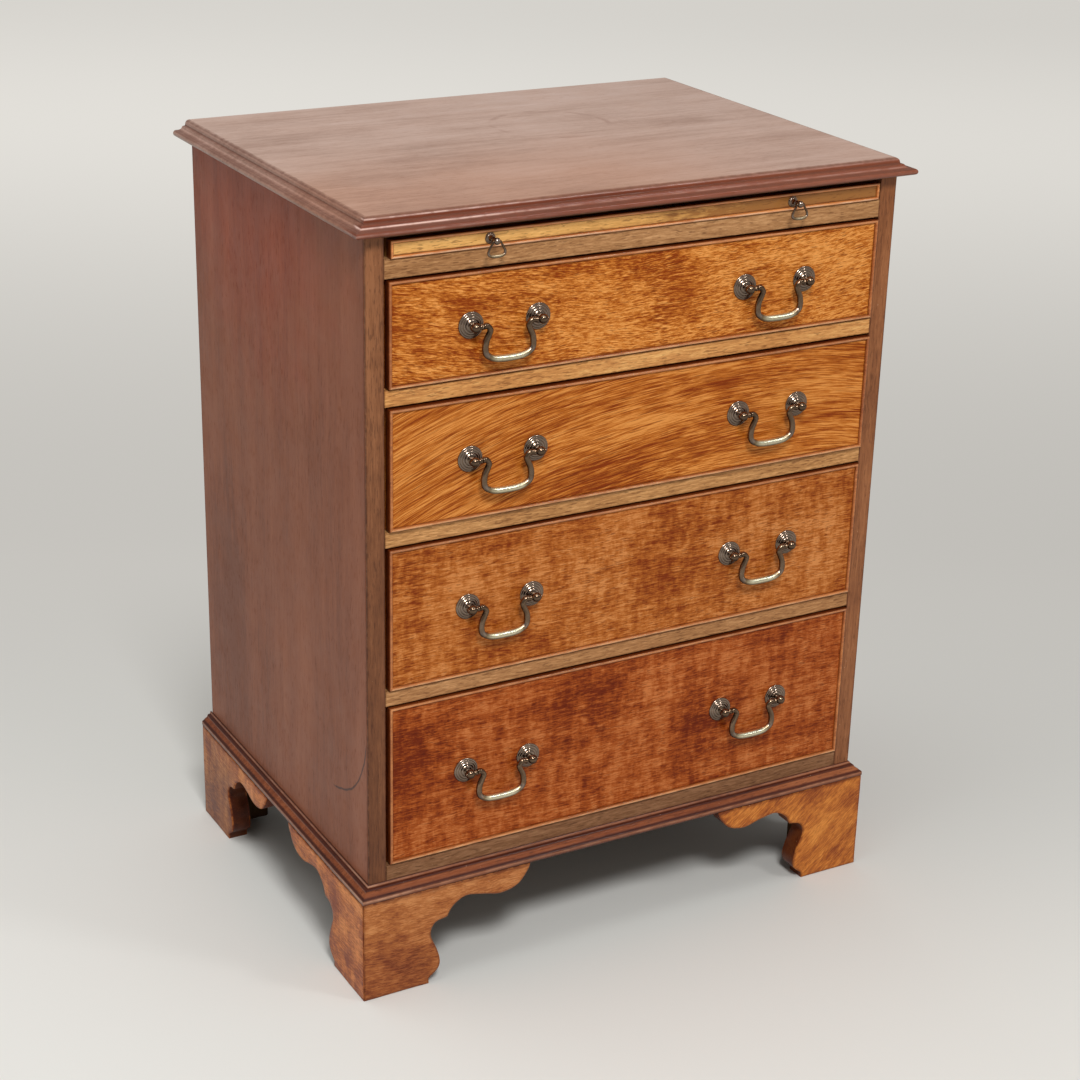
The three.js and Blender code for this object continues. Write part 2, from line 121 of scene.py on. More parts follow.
class ChestColours(bpy.types.PropertyGroup):
    """Middle tones of the woods, the brass and the floor"""
    # The top's tone is made pale by a painted sheen, the pale reflection that its polish shows from a low
    # eye
    top: colour("Top", "Middle tone of the top board", tone(192, 160, 144))
    side: colour("Sides", "Middle tone of the case sides", tone(146, 80, 46))
    stile: colour("Stiles", "Middle tone of the stiles", tone(121, 72, 40))
    rail: colour("Rails", "Middle tone of the rails", tone(196, 138, 82))
    front_1: colour("Drawer 1", "Middle tone of the first drawer front", tone(199, 115, 38))
    front_2: colour("Drawer 2", "Middle tone of the second drawer front", tone(191, 107, 33))
    front_3: colour("Drawer 3", "Middle tone of the third drawer front", tone(181, 100, 35))
    front_4: colour("Drawer 4", "Middle tone of the fourth drawer front", tone(168, 80, 25))
    bead: colour("Beads", "Middle tone of the cockbeads", tone(176, 100, 48))
    slide: colour("Slide", "Middle tone of the brushing slide", tone(226, 168, 92))
    moulding: colour("Mouldings", "Middle tone of the base moulding", tone(148, 78, 40))
    foot: colour("Feet", "Middle tone of the bracket feet", tone(176, 102, 46))
    lining: colour("Drawer lining", "Middle tone of the drawer boxes", tone(190, 152, 106))
    back: colour("Back boards", "Middle tone of the back and dustboards", tone(146, 114, 78))
    patina: colour("Patina", "Bronze tone of the brass", tone(150, 134, 122))
    rubbed: colour("Rubbed brass", "Tone of the brass where hands polish it", tone(246, 236, 202))
    floor: colour("Floor", "Tone of the studio floor", tone(222, 219, 213))


def sizes():
    return bpy.context.scene.chest_sizes


def colours():
    return bpy.context.scene.chest_colours


# Shader sockets as Python values


class Value:
    """A shader socket that takes part in Python sums"""

    def __init__(self, finish, socket):
        self.finish = finish
        self.socket = socket

    def __add__(self, other):
        return self.finish.maths("ADD", self, other)

    __radd__ = __add__

    def __mul__(self, other):
        return self.finish.maths("MULTIPLY", self, other)

    __rmul__ = __mul__

    def __sub__(self, other):
        return self.finish.maths("SUBTRACT", self, other)

    def __rsub__(self, other):
        return self.finish.maths("SUBTRACT", other, self)

    def __truediv__(self, other):
        return self.finish.maths("DIVIDE", self, other)

    def __rtruediv__(self, other):
        return self.finish.maths("DIVIDE", other, self)


class Finish:
    """One procedural material and the ways to add nodes to it"""

    def __init__(self, name):
        self.material = bpy.data.materials.new(name)
        self.material.use_nodes = True
        self.tree = self.material.node_tree
        self.surface = self.tree.nodes["Principled BSDF"]
        self.place = self.node("ShaderNodeTexCoord", output="Object")

    def feed(self, socket, value):
        if isinstance(value, Value):
            self.tree.links.new(value.socket, socket)
        elif socket.type == "RGBA":
            socket.default_value = (*value[:3], 1.0)
        else:
            socket.default_value = value

    def node(self, kind, settings=None, inputs=None, output=0):
        made = self.tree.nodes.new(kind)
        for key, value in (settings or {}).items():
            if key == "stops":
                self.set_stops(made.color_ramp, *value)
            else:
                setattr(made, key, value)
        for key, value in (inputs or {}).items():
            self.feed(made.inputs[key], value)
        return Value(self, made.outputs[output])

    def ramp(self, value, stops, interpolation="LINEAR"):
        """The tone at a value between stops of (position, tone)"""
        return self.node("ShaderNodeValToRGB", {"stops": (interpolation, stops)}, {0: value})

    def set_stops(self, ramp, interpolation, stops):
        ramp.interpolation = interpolation
        while len(ramp.elements) < len(stops):
            ramp.elements.new(1.0)
        for element, (position, shade) in zip(ramp.elements, stops):
            element.position = position
            element.color = (*shade, 1.0)

    def maths(self, operation, first, second=0.0):
        return self.node("ShaderNodeMath", {"operation": operation}, {0: first, 1: second})

    def vector(self, operation, first, second=(0.0, 0.0, 0.0), output=0):
        return self.node("ShaderNodeVectorMath", {"operation": operation}, {0: first, 1: second}, output)

    def part(self, place, axis):
        """One coordinate of a place: 0 across, 1 deep or 2 up"""
        return self.node("ShaderNodeSeparateXYZ", None, {0: place}, axis)

    def mark(self, name):
        return self.node("ShaderNodeAttribute", {"attribute_name": name}, output="Fac")

    def noise(self, place, scale=1.0, detail=2.0, rough=0.55, output=0):
        inputs = {"Vector": place, "Scale": scale, "Detail": detail, "Roughness": rough}
        return self.node("ShaderNodeTexNoise", None, inputs, output)

    def stretched(self, place, scales, shift=(0.0, 0.0, 0.0)):
        return self.node("ShaderNodeMapping", None, {"Vector": place, "Scale": scales, "Location": shift})

    def turned(self, place, axis, angle):
        return self.node("ShaderNodeVectorRotate", None, {"Vector": place, "Axis": axis, "Angle": angle})

    def curved(self, place, centre):
        """Places along and across rings round a centre in the XZ plane"""
        away = self.vector("SUBTRACT", place, centre)
        parts = [self.part(away, axis) for axis in range(3)]
        radius = self.vector("LENGTH", self.vector("MULTIPLY", away, (1.0, 0.0, 1.0)), output=1)
        usual = Vector((centre[0], centre[2])).length
        along = self.maths("ARCTAN2", parts[0], self.maths("ABSOLUTE", parts[2])) * usual
        return self.node("ShaderNodeCombineXYZ", None, {0: along, 1: parts[1], 2: radius})

    def ease(self, value, start, end, first=0.0, last=1.0):
        """first below start, last above end, and a smooth rise between"""
        settings = {"interpolation_type": "SMOOTHSTEP"}
        inputs = {"Value": value, "From Min": start, "From Max": end, "To Min": first, "To Max": last}
        return self.node("ShaderNodeMapRange", settings, inputs)

    def mix(self, factor, first, second, way="MIX"):
        settings = {"data_type": "RGBA", "blend_type": way, "clamp_factor": True}
        return self.node("ShaderNodeMix", settings, {0: factor, 6: first, 7: second}, 2)

    def spot(self, centre, radii, ragged, inner):
        """1 in the middle of an ellipsoid, 0 outside it, with a ragged rim"""
        away = self.vector("SUBTRACT", self.place, centre)
        away = self.vector("DIVIDE", away, radii)
        reach = self.vector("LENGTH", away, output=1)
        if ragged:
            stray = self.noise(self.place, 1.6 / min(radii), 3.0)
            reach = reach + (stray - 0.5) * ragged
        return self.ease(reach, inner, 1.0, 1.0, 0.0)

    def bump(self, height, distance, strength):
        inputs = {"Height": height, "Distance": distance, "Strength": strength}
        self.feed(self.surface.inputs["Normal"], self.node("ShaderNodeBump", None, inputs))

    def dress(self, **inputs):
        for key, value in inputs.items():
            self.feed(self.surface.inputs[key.replace("_", " ").title().replace("Ior", "IOR")], value)


# Woods


FRONT_DEEP = (0.46, 0.24, 0.12)
FRONT_PALE = (1.50, 2.10, 4.60)
RED_DEEP = (0.50, 0.36, 0.30)
RED_PALE = (1.55, 1.95, 2.40)
BROWN_DEEP = (0.46, 0.36, 0.28)
BROWN_PALE = (1.70, 1.95, 2.30)
BROWN = {"deep": BROWN_DEEP, "pale": BROWN_PALE}
PLAIN_GRAIN = ((0.9, 3.0, 40.0), (0.9, 10.0, 220.0), (0.8, 60.0, 520.0))
# How far the grain's level runs from the middle tone to the deep and the pale one
TONE_REACH = 0.42
FLECK_LIMITS = (0.57, 0.68)


def grain_scales(grain, along, across):
    return tuple(along if axis == grain else across for axis in "xyz")


def timber(name, middle, grain="x", deep=RED_DEEP, pale=RED_PALE, layers=PLAIN_GRAIN, turn=None, warp=0.012,
           warp_scale=4.0, cloud=0.8, cloud_scale=7.0, flecks=0.6, fleck_scales=(95.0, 620.0), rough=0.36,
           gloss=0.4, coat=0.2, coat_rough=0.14, dirt=0.5, dirt_width=5.0 * MM, wear=0.25, specks=0.15,
           relief=1.0, shift=(0.0, 0.0, 0.0), rings=None, edge=None, places=(), stains=(), painted_glint=None,
           crisp=False, gold=0.0):
    """Polished wood. layers are (strength, along, across) of the grain; rings is a point that the grain
    curves round; edge is what the colour is multiplied by on sawn and moulded edges, and as painted shade
    on the beads' sides; places are (centre, radii, lighter by); stains are (mask, factors, strength); glint
    is a pale tone painted as a highlight on the arrises that the rub mark picks out; crisp gives the grain
    harder edges; gold is the strength of pale dashes."""
    wood = Finish(name)
    place = wood.place
    if turn:
        place = wood.turned(place, turn[0], turn[1])
    if rings:
        place = wood.curved(place, rings)
    if any(shift):
        place = wood.vector("ADD", place, shift)
    stray_place = wood.stretched(place, grain_scales(grain, warp_scale, warp_scale * 2.2))
    stray = wood.noise(stray_place, 1.0, 2.0, output=1)
    stray = wood.vector("SUBTRACT", stray, (0.5, 0.5, 0.5))
    bent = wood.vector("ADD", place, wood.vector("MULTIPLY", stray, (warp,) * 3))
    patch = wood.noise(bent, cloud_scale, 6.0, 0.62)
    level = (patch - 0.5) * cloud + 0.5
    grains = []
    for strength, along, across in layers:
        grains.append(wood.noise(wood.stretched(bent, grain_scales(grain, along, across)), 1.0, 4.0, 0.68))
        drawn = wood.ease(grains[-1], 0.32, 0.68, 0.2, 0.8) if crisp else grains[-1]
        level = level + (drawn - 0.5) * strength
    for centre, radii, lighter in places:
        level = level + wood.spot(centre, radii, 0.6, 0.05) * lighter
    shade = wood.ramp(level, [(0.5 - TONE_REACH, scaled(middle, deep)), (0.5, middle),
                              (0.5 + TONE_REACH, scaled(middle, pale))])
    pit = wood.noise(wood.stretched(bent, grain_scales(grain, *fleck_scales)), 1.0, 2.0, 0.5)
    pit = wood.ease(pit + (patch - 0.5) * -0.25, *FLECK_LIMITS)
    shade = wood.mix(pit * flecks, shade, scaled(middle, scaled(deep, (0.55, 0.45, 0.40))))
    if gold:
        dash_place = wood.stretched(bent, grain_scales(grain, 62.0, 560.0), (3.0, 5.0, 7.0))
        dash = wood.noise(dash_place, 1.0, 2.0, 0.6)
        dash = wood.ease(dash + (patch - 0.5) * 0.35, 0.58, 0.70)
        shade = wood.mix(dash * gold, shade, scaled(middle, scaled(pale, (1.0, 0.86, 0.6))))
    for mask, factors, strength in stains:
        shade = wood.mix(mask(wood) * strength, shade, factors, "MULTIPLY")
    if edge:
        shade = wood.mix(wood.mark("edge"), shade, edge, "MULTIPLY")
    rim = wood.mark("rim")
    ragged = wood.noise(place, 130.0, 3.0)
    grime = wood.ease(rim + (ragged - 0.5) * dirt_width, 0.0, dirt_width, 1.0, 0.0)
    shade = wood.mix(grime * dirt, shade, scaled(middle, (0.24, 0.12, 0.08)))
    worn = wood.ease(rim + (ragged - 0.5) * 2.2 * MM, 0.0, 1.3 * MM, 1.0, 0.0)
    worn = worn * wood.ease(ragged, 0.48, 0.62)
    shade = wood.mix(worn * wear, shade, scaled(middle, (1.6, 1.9, 2.4)))
    chips = wood.noise(place, 420.0, 2.0)
    speck = wood.ease(chips, 0.73, 0.77) * wood.ease(patch, 0.5, 0.6)
    shade = wood.mix(speck * specks, shade, tone(226, 196, 160))
    sheen = wood.noise(bent, 28.0, 3.0)
    dull = (sheen - 0.5) * 0.22 + pit * 0.12 + grime * 0.10 + rough
    # Painted highlight: a pale tone laid on the arrises that the rub mark picks out, standing in for
    # reflections on waxed edges
    if painted_glint:
        bright = wood.mark("rub") * wood.ease(wood.noise(place, 70.0, 3.0), 0.35, 0.6, 0.45, 1.0)
        shade = wood.mix(bright, shade, painted_glint)
    wood.dress(base_color=shade, roughness=dull, specular_ior_level=gloss, coat_weight=coat,
               coat_roughness=coat_rough)
    wave = wood.noise(place, 34.0, 2.0)
    height = (grains[-1] - 0.5) * 0.20 - pit * 0.45 + (chips - 0.5) * 0.10 + (wave - 0.5) * 0.9 - worn * 0.5
    wood.bump(height, 0.20 * MM * relief, 0.5)
    return wood


# Brass


def brass(name):
    """Bronze patina, dark in the grooves, that thins to greenish yellow metal where hands polish it, painted
    lighter where it faces up and darker where it faces down
    """
    metal = Finish(name)
    rub = metal.mark("rub")
    blotch = metal.noise(metal.place, 210.0, 3.0)
    speckle = metal.noise(metal.place, 900.0, 3.0)
    patina = colours().patina
    stops = [(0.0, scaled(patina, (0.42, 0.36, 0.30))), (0.12, scaled(patina, (0.72, 0.60, 0.46))),
             (0.24, scaled(patina, (0.95, 0.92, 0.88))), (0.45, scaled(patina, (1.2, 1.17, 1.14))),
             (0.6, scaled(patina, (1.2, 1.08, 0.74))), (0.9, colours().rubbed)]
    shade = metal.ramp(rub + (blotch - 0.5) * 0.12, stops)
    shade = metal.mix(metal.ease(speckle, 0.45, 0.75) * 0.35, shade, scaled(patina, (0.35, 0.30, 0.26)))
    # Painted light and shade: the colour is lighter where a part faces up and darker where it faces down
    normal = metal.node("ShaderNodeNewGeometry", output="Normal")
    painted_light_by_facing = metal.ease(metal.part(normal, 2), -0.6, 0.7, 0.28, 1.35)
    painted_light_by_facing = metal.node("ShaderNodeCombineXYZ", None, {0: painted_light_by_facing, 1: painted_light_by_facing, 2: painted_light_by_facing})
    shade = metal.vector("MULTIPLY", shade, painted_light_by_facing)
    dull = metal.ease(speckle, 0.3, 0.8, 0.15, 0.25) + metal.ease(rub, 0.3, 0.6, 0.0, 0.15)
    metal.dress(base_color=shade, metallic=1.0, roughness=dull)
    metal.bump((speckle - 0.5) * 0.3 + (blotch - 0.5), 0.03 * MM, 0.2)
    return metal


# Forms


class Form:
    """Points and faces of one closed body, with numbers kept at each point"""

    def __init__(self):
        self.points = []
        self.faces = []
        self.marks = {"rim": [], "rub": [], "edge": []}

    def point(self, place, rim=1.0, rub=0.0, edge=0.0):
        self.points.append(Vector(place))
        for name, value in (("rim", rim), ("rub", rub), ("edge", edge)):
            self.marks[name].append(value)
        return len(self.points) - 1

    def mark(self, name, share):
        self.marks[name] = [share(point) for point in self.points]
        return self

    def bridge(self, first, second):
        """Faces between two closed rows of points"""
        for index in range(len(first)):
            following = (index + 1) % len(first)
            self.faces.append((first[index], first[following], second[following], second[index]))

    def skin(self, rows):
        """Faces between closed rows of points, and over the first and the last row"""
        for first, second in zip(rows, rows[1:]):
            self.bridge(first, second)
        self.faces += [tuple(reversed(rows[0])), tuple(rows[-1])]
        return self

    def move(self, change):
        self.points = [Vector(change(point)) for point in self.points]
        return self


# Blender shifts noise_vector by a seed from the clock unless one is set
WEAR_SEED = 4


def uneven(form, amount, scale, lot=0.0):
    """Moves each point a little, as old edges stray"""
    noise.seed_set(WEAR_SEED)
    drift = Vector((lot, lot * 0.7, -lot))
    for index, point in enumerate(form.points):
        closeness = max(0.0, 1.0 - form.marks["rim"][index] / (4 * MM))
        moved = point + noise.noise_vector(point * scale + drift) * amount * (0.35 + 0.65 * closeness)
        form.points[index] = Vector((moved.x, moved.y, max(0.0, moved.z)))
    return form


# How far from a rounded edge the rows of points stand, in millimetres
NEAR_EDGE = (0.9, 3.0, 7.0, 16.0, 36.0)
BOARD_SPACING = 70 * MM


def edge_stops(low, high, radius, spacing):
    """Places across a board: close together near its edges, wide in the middle"""
    half = (high - low) / 2
    near = [radius * (1 - math.tan(math.radians(angle))) for angle in (45, 30, 15, 0)]
    near += [radius + reach * MM for reach in NEAR_EDGE if radius + reach * MM < half * 0.92]
    first, last = low + near[-1], high - near[-1]
    count = max(1, math.ceil((last - first) / spacing))
    middle = [first + (last - first) * step / count for step in range(1, count)]
    return [low + reach for reach in near] + middle + [high - reach for reach in reversed(near)]


def board(ranges, radius, spacing=BOARD_SPACING):
    """A board with rounded edges"""
    radius = min([radius] + [(high - low) * 0.45 for low, high in ranges])
    stops = [edge_stops(low, high, radius, spacing) for low, high in ranges]
    form = Form()
    found = {}

    def corner(at):
        if at not in found:
            place = Vector(stops[axis][at[axis]] for axis in range(3))
            reach = sorted(min(value - low, high - value) for value, (low, high) in zip(place, ranges))
            core = Vector(min(max(value, low + radius), high - radius)
                          for value, (low, high) in zip(place, ranges))
            outwards = place - core
            if outwards.length > 0:
                place = core + outwards.normalized() * radius
            found[at] = form.point(place, reach[1])
        return found[at]

    for axis in range(3):
        across, up = (axis + 1) % 3, (axis + 2) % 3
        for end in (0, len(stops[axis]) - 1):
            for first in range(len(stops[across]) - 1):
                for second in range(len(stops[up]) - 1):
                    face = []
                    for step_across, step_up in ((0, 0), (1, 0), (1, 1), (0, 1)):
                        at = [0, 0, 0]
                        at[axis], at[across], at[up] = end, first + step_across, second + step_up
                        face.append(corner(tuple(at)))
                    form.faces.append(tuple(face))
    return form


def strip(section, start, end, mitres, put, rims, edges, rubs_and_highlights, spacing=12 * MM):
    """A section of (inset, reach) carried along a line, mitred by its inset at the ends that say so"""
    form = Form()
    stations = edge_stops(0.0, 1.0, 0.4 * MM, spacing / abs(end - start))
    rows = []
    for share in stations:
        row = []
        for number, (inset, reach) in enumerate(section):
            first = start + mitres[0] * inset
            last = end - mitres[1] * inset
            place = put(first + (last - first) * share, inset, reach)
            row.append(form.point(place, rims[number], rubs_and_highlights[number], edges[number]))
        rows.append(row)
    return form.skin(rows)


def stacked(plan, rings, put, spacing=14 * MM):
    """Rectangles one over another. Each ring is (insets of the four sides, level, rim)."""
    form = Form()
    (left, right), (front, back) = plan
    across = [(stop - left) / (right - left) for stop in edge_stops(left, right, 0.8 * MM, spacing)]
    deep = [(stop - front) / (back - front) for stop in edge_stops(front, back, 0.8 * MM, spacing)]
    rows = []
    for (in_left, in_right, in_front, in_back), level, rim in rings:
        low_x, high_x, low_y, high_y = left + in_left, right - in_right, front + in_front, back - in_back
        edge = [(low_x + (high_x - low_x) * share, low_y) for share in across[:-1]]
        edge += [(high_x, low_y + (high_y - low_y) * share) for share in deep[:-1]]
        edge += [(high_x - (high_x - low_x) * share, high_y) for share in across[:-1]]
        edge += [(low_x, high_y - (high_y - low_y) * share) for share in deep[:-1]]
        rows.append([form.point(put(first, second, level), rim) for first, second in edge])
    return form.skin(rows)


def lathe(profile, steps, put):
    """A turned form from (radius, reach, rub) in millimetres, closed on its axis at both ends"""
    form = Form()
    rows = []
    turns = [2 * math.pi * step / steps for step in range(steps)]
    for radius, reach, rub in profile:
        radius, reach = radius * MM, reach * MM
        if radius < 0.001 * MM:
            rows.append([form.point(put(0.0, 0.0, reach), 1.0, rub)])
            continue
        rows.append([form.point(put(radius * math.cos(turn), radius * math.sin(turn), reach), 1.0, rub)
                     for turn in turns])
    for first, second in zip(rows, rows[1:]):
        if len(first) == 1:
            form.faces += [(first[0], second[i], second[(i + 1) % steps]) for i in range(steps)]
        elif len(second) == 1:
            form.faces += [(first[i], first[(i + 1) % steps], second[0]) for i in range(steps)]
        else:
            form.bridge(first, second)
    return form


def curve_through(points, steps):
    """A smooth run of points through the given ones"""
    padded = [points[0] * 2 - points[1], *points, points[-1] * 2 - points[-2]]
    run = []
    for index in range(1, len(padded) - 2):
        p0, p1, p2, p3 = padded[index - 1:index + 3]
        for step in range(steps):
            t = step / steps
            run.append(0.5 * (2 * p1 + (p2 - p0) * t + (2 * p0 - 5 * p1 + 4 * p2 - p3) * t * t
                              + (3 * p1 - p0 - 3 * p2 + p3) * t ** 3))
    run.append(points[-1].copy())
    return run


def tube(route, radii, sides, rubs_and_highlights):
    """A round wire along a route that lies in an XZ plane"""
    form = Form()
    rows = []
    for index, point in enumerate(route):
        ahead = route[min(index + 1, len(route) - 1)] - route[max(index - 1, 0)]
        normal = Vector((0.0, 1.0, 0.0)).cross(ahead.normalized()).normalized()
        row = []
        for side in range(sides):
            turn = 2 * math.pi * side / sides
            out = normal * math.cos(turn) + Vector((0.0, 1.0, 0.0)) * math.sin(turn)
            row.append(form.point(point + out * radii[index], 1.0, rubs_and_highlights[index]))
        rows.append(row)
    return form.skin(rows)


def inset_outline(outline, inset):
    """An outline moved towards its inside"""
    moved = []
    count = len(outline)
    for index, point in enumerate(outline):
        before = (point - outline[index - 1]).normalized()
        after = (outline[(index + 1) % count] - point).normalized()
        normal = Vector((-before.y - after.y, before.x + after.x))
        if normal.length < 1e-6:
            normal = Vector((-after.y, after.x))
        normal.normalize()
        spread = max(0.55, normal.dot(Vector((-after.y, after.x))))
        moved.append(point + normal * inset / spread)
    return moved


def inside(outline, place, least):
    """Whether a place lies in an outline and at least so far from it, and its distance"""
    within, nearest = False, math.inf
    for first, second in zip(outline, outline[1:] + outline[:1]):
        if (first.y > place.y) != (second.y > place.y):
            across = first.x + (place.y - first.y) / (second.y - first.y) * (second.x - first.x)
            within ^= place.x < across
        foot, share = geometry.intersect_point_line(place, first, second)
        foot = first.lerp(second, clamp(share))
        nearest = min(nearest, (place - foot).length)
    return within and nearest >= least, nearest


FILL_SPACING = 6 * MM


def filled(outline):
    """Triangles that fill an outline, as (points of a lattice with their distances, faces)"""
    low = Vector((min(p.x for p in outline), min(p.y for p in outline)))
    high = Vector((max(p.x for p in outline), max(p.y for p in outline)))
    inner = []
    for row in range(1, int((high.y - low.y) / FILL_SPACING) + 1):
        for column in range(1, int((high.x - low.x) / FILL_SPACING) + 1):
            place = low + Vector((column - 0.5 * (row % 2), row)) * FILL_SPACING
            fits, distance = inside(outline, place, FILL_SPACING * 0.4)
            if fits:
                inner.append((place, distance))
    places = outline + [place for place, distance in inner]
    made = geometry.delaunay_2d_cdt(places, [], [list(range(len(outline)))], 1, 1e-7)
    faces = [tuple(made[3][corner][0] for corner in face) for face in made[2]]
    return inner, faces


def plate(outline, thickness, radius, put):
    """A sawn plate with an outline of (along, up), rounded at its two faces' edges"""
    form = Form()
    arc = [(radius * (1 - math.cos(math.radians(turn))), radius * (1 - math.sin(math.radians(turn))))
           for turn in (0, 30, 60, 90)]
    rings = [(inset, depth, inset * 0.5, 0.0 if depth < radius * 0.6 else 1.0)
             for inset, depth in reversed(arc)]
    rings += [(0.0, thickness * share, thickness * 0.3, 1.0) for share in (0.3, 0.6)]
    rings += [(inset, thickness - depth, inset * 0.5, 1.0) for inset, depth in arc]
    rows = []
    for inset, depth, rim, edge in rings:
        rows.append([form.point(put(place.x, place.y, depth), rim, 0.0, edge)
                     for place in inset_outline(outline, inset)])
    for first, second in zip(rows, rows[1:]):
        form.bridge(first, second)
    inner, faces = filled(inset_outline(outline, radius))
    for row, depth, edge in ((rows[0], 0.0, 0.0), (rows[-1], thickness, 1.0)):
        corners = row + [form.point(put(place.x, place.y, depth), distance, 0.0, edge)
                         for place, distance in inner]
        form.faces += [tuple(corners[corner] for corner in face) for face in faces]
    return form


# Edges that turn by more than this many degrees stay sharp
SHARP_TURN = 42.0


def add_piece(name, form, body, finish, slot, *nodes):
    """Turns a form into a piece that rides on a body and stands for CAD nodes"""
    mesh = bpy.data.meshes.new(name)
    mesh.from_pydata(form.points, [], form.faces)
    for mark, values in form.marks.items():
        mesh.attributes.new(mark, "FLOAT", "POINT").data.foreach_set("value", values)
    work = bmesh.new()
    work.from_mesh(mesh)
    bmesh.ops.recalc_face_normals(work, faces=work.faces)
    work.to_mesh(mesh)
    work.free()
    mesh.shade_smooth()
    mesh.set_sharp_from_angle(angle=math.radians(SHARP_TURN))
    mesh.materials.append(finish.material)
    piece = bpy.data.objects.new(name, mesh)
    bpy.context.scene.collection.objects.link(piece)
    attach(piece, body)
    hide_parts(*nodes)


def arc_points(centre, radius, start, end, steps):
    turns = [math.radians(start + (end - start) * step / steps) for step in range(steps + 1)]
    return [(centre[0] + radius * math.cos(turn), centre[1] + radius * math.sin(turn)) for turn in turns]


# Stage


EYE = Vector((-1.1028, -1.97345, 1.3030))
LOOK = Vector((0.4541, 0.8042, -0.3835)).normalized()
HEAD = Vector((0.1671, 0.3459, 0.9233))
LENS = 75.67


def make_camera():
    data = bpy.data.cameras.new("view")
    data.lens = LENS
    data.sensor_width = 36.0
    data.clip_end = 60.0
    camera = bpy.data.objects.new("view", data)
    side = LOOK.cross(HEAD).normalized()
    head = side.cross(LOOK)
    turn = Matrix((side, head, -LOOK)).transposed().to_4x4()
    camera.matrix_world = Matrix.Translation(EYE) @ turn
    bpy.context.scene.collection.objects.link(camera)
    bpy.context.scene.camera = camera


def make_lamp(name, place, target, width, power):
    data = bpy.data.lights.new(name, "AREA")
    data.shape = "RECTANGLE"
    data.size = width
    data.size_y = width
    data.energy = power
    lamp = bpy.data.objects.new(name, data)
    lamp.location = place
    lamp.rotation_euler = (Vector(target) - Vector(place)).to_track_quat("-Z", "Y").to_euler()
    bpy.context.scene.collection.objects.link(lamp)


# Square lamps as (name, place, target, width, power)
LAMPS = (
    ("ceiling", (-0.7, 0.4, 3.0), (-0.7, 0.4, 0.0), 2.6, 34.0),
    ("key", (-0.8, -2.3, 2.9), (0.0, -0.2, 0.4), 0.7, 58.0),
    ("spark", (1.5, -2.1, 2.7), (0.0, -0.2, 0.4), 0.45, 12.0),
)
WORLD_TONE = (255, 253, 249)
WORLD_STRENGTH = 0.27
# The sweep's brightness by distance from the eye: pale in front, dimmer behind the chest, bright far back
FLOOR_SHARES = ((1.9, 0.98), (3.2, 0.77), (5.9, 1.04), (8.0, 0.93))
FLOOR_REACH = 9.0
BACKDROP_START = 2.35
BACKDROP_END = 3.05
# Where the sweep starts to show as written, by distance from the chest's middle
SWEEP_START = 1.3
SWEEP_END = 2.2
FLOOR_GAIN = (1.17, 1.20, 1.22)
FLOOR_HALF = 16.0
FLOOR_STEPS = 16


def floor_finish():
    """A pale studio sweep whose tone changes with the distance and shows as written far from the chest"""
    ground = Finish("studio_floor")
    away = ground.vector("SUBTRACT", ground.place, (EYE.x, EYE.y, 0.0))
    ahead = Vector((LOOK.x, LOOK.y, 0.0)).normalized()
    distance = ground.vector("DOT_PRODUCT", away, tuple(ahead), output=1)
    aside = ground.vector("DOT_PRODUCT", away, (ahead.y, -ahead.x, 0.0), output=1) / distance
    stops = [(reach / FLOOR_REACH, scaled(colours().floor, (share,) * 3)) for reach, share in FLOOR_SHARES]
    shade = ground.ramp(distance / FLOOR_REACH, stops, "EASE")
    # Painted light falloff: the far floor darkens towards the right
    painted_falloff = ground.ease(aside, -0.2, 0.25, 0.0, 0.07) * ground.ease(distance, 1.9, 2.5, 0.3, 1.0)
    shade = ground.mix(painted_falloff, shade, tone(120, 118, 112))
    ground.dress(base_color=ground.vector("MULTIPLY", shade, FLOOR_GAIN), roughness=0.6,
                 specular_ior_level=0.15)
    seen = [ground.node("ShaderNodeLightPath", output=name)
            for name in ("Is Camera Ray", "Is Glossy Ray", "Is Transmission Ray")]
    reach = ground.vector("LENGTH", ground.vector("MULTIPLY", ground.place, (1.0, 1.0, 0.0)), output=1)
    far = ground.maths("MAXIMUM", ground.ease(distance, BACKDROP_START, BACKDROP_END),
                       ground.ease(reach, SWEEP_START, SWEEP_END))
    share = ground.maths("MINIMUM", seen[0] + seen[1] + seen[2], 1.0) * far
    glow = ground.node("ShaderNodeEmission", None, {"Color": shade, "Strength": 1.0})
    surface = Value(ground, ground.surface.outputs[0])
    both = ground.node("ShaderNodeMixShader", None, {0: share, 1: surface, 2: glow})
    ground.feed(ground.tree.nodes["Material Output"].inputs["Surface"], both)
    return ground


def make_floor():
    mesh = bpy.data.meshes.new("studio_floor")
    side = [-FLOOR_HALF + 2 * FLOOR_HALF * step / FLOOR_STEPS for step in range(FLOOR_STEPS + 1)]
    points = [(x, y, 0.0) for y in side for x in side]
    row = FLOOR_STEPS + 1
    corners = [up * row + across for up in range(FLOOR_STEPS) for across in range(FLOOR_STEPS)]
    faces = [(corner, corner + 1, corner + row + 1, corner + row) for corner in corners]
    mesh.from_pydata(points, [], faces)
    mesh.materials.append(floor_finish().material)
    floor = bpy.data.objects.new("studio_floor", mesh)
    bpy.context.scene.collection.objects.link(floor)


def make_world():
    world = bpy.data.worlds.new("studio")
    world.use_nodes = True
    background = world.node_tree.nodes["Background"]
    background.inputs["Color"].default_value = (*tone(*WORLD_TONE), 1.0)
    background.inputs["Strength"].default_value = WORLD_STRENGTH
    bpy.context.scene.world = world


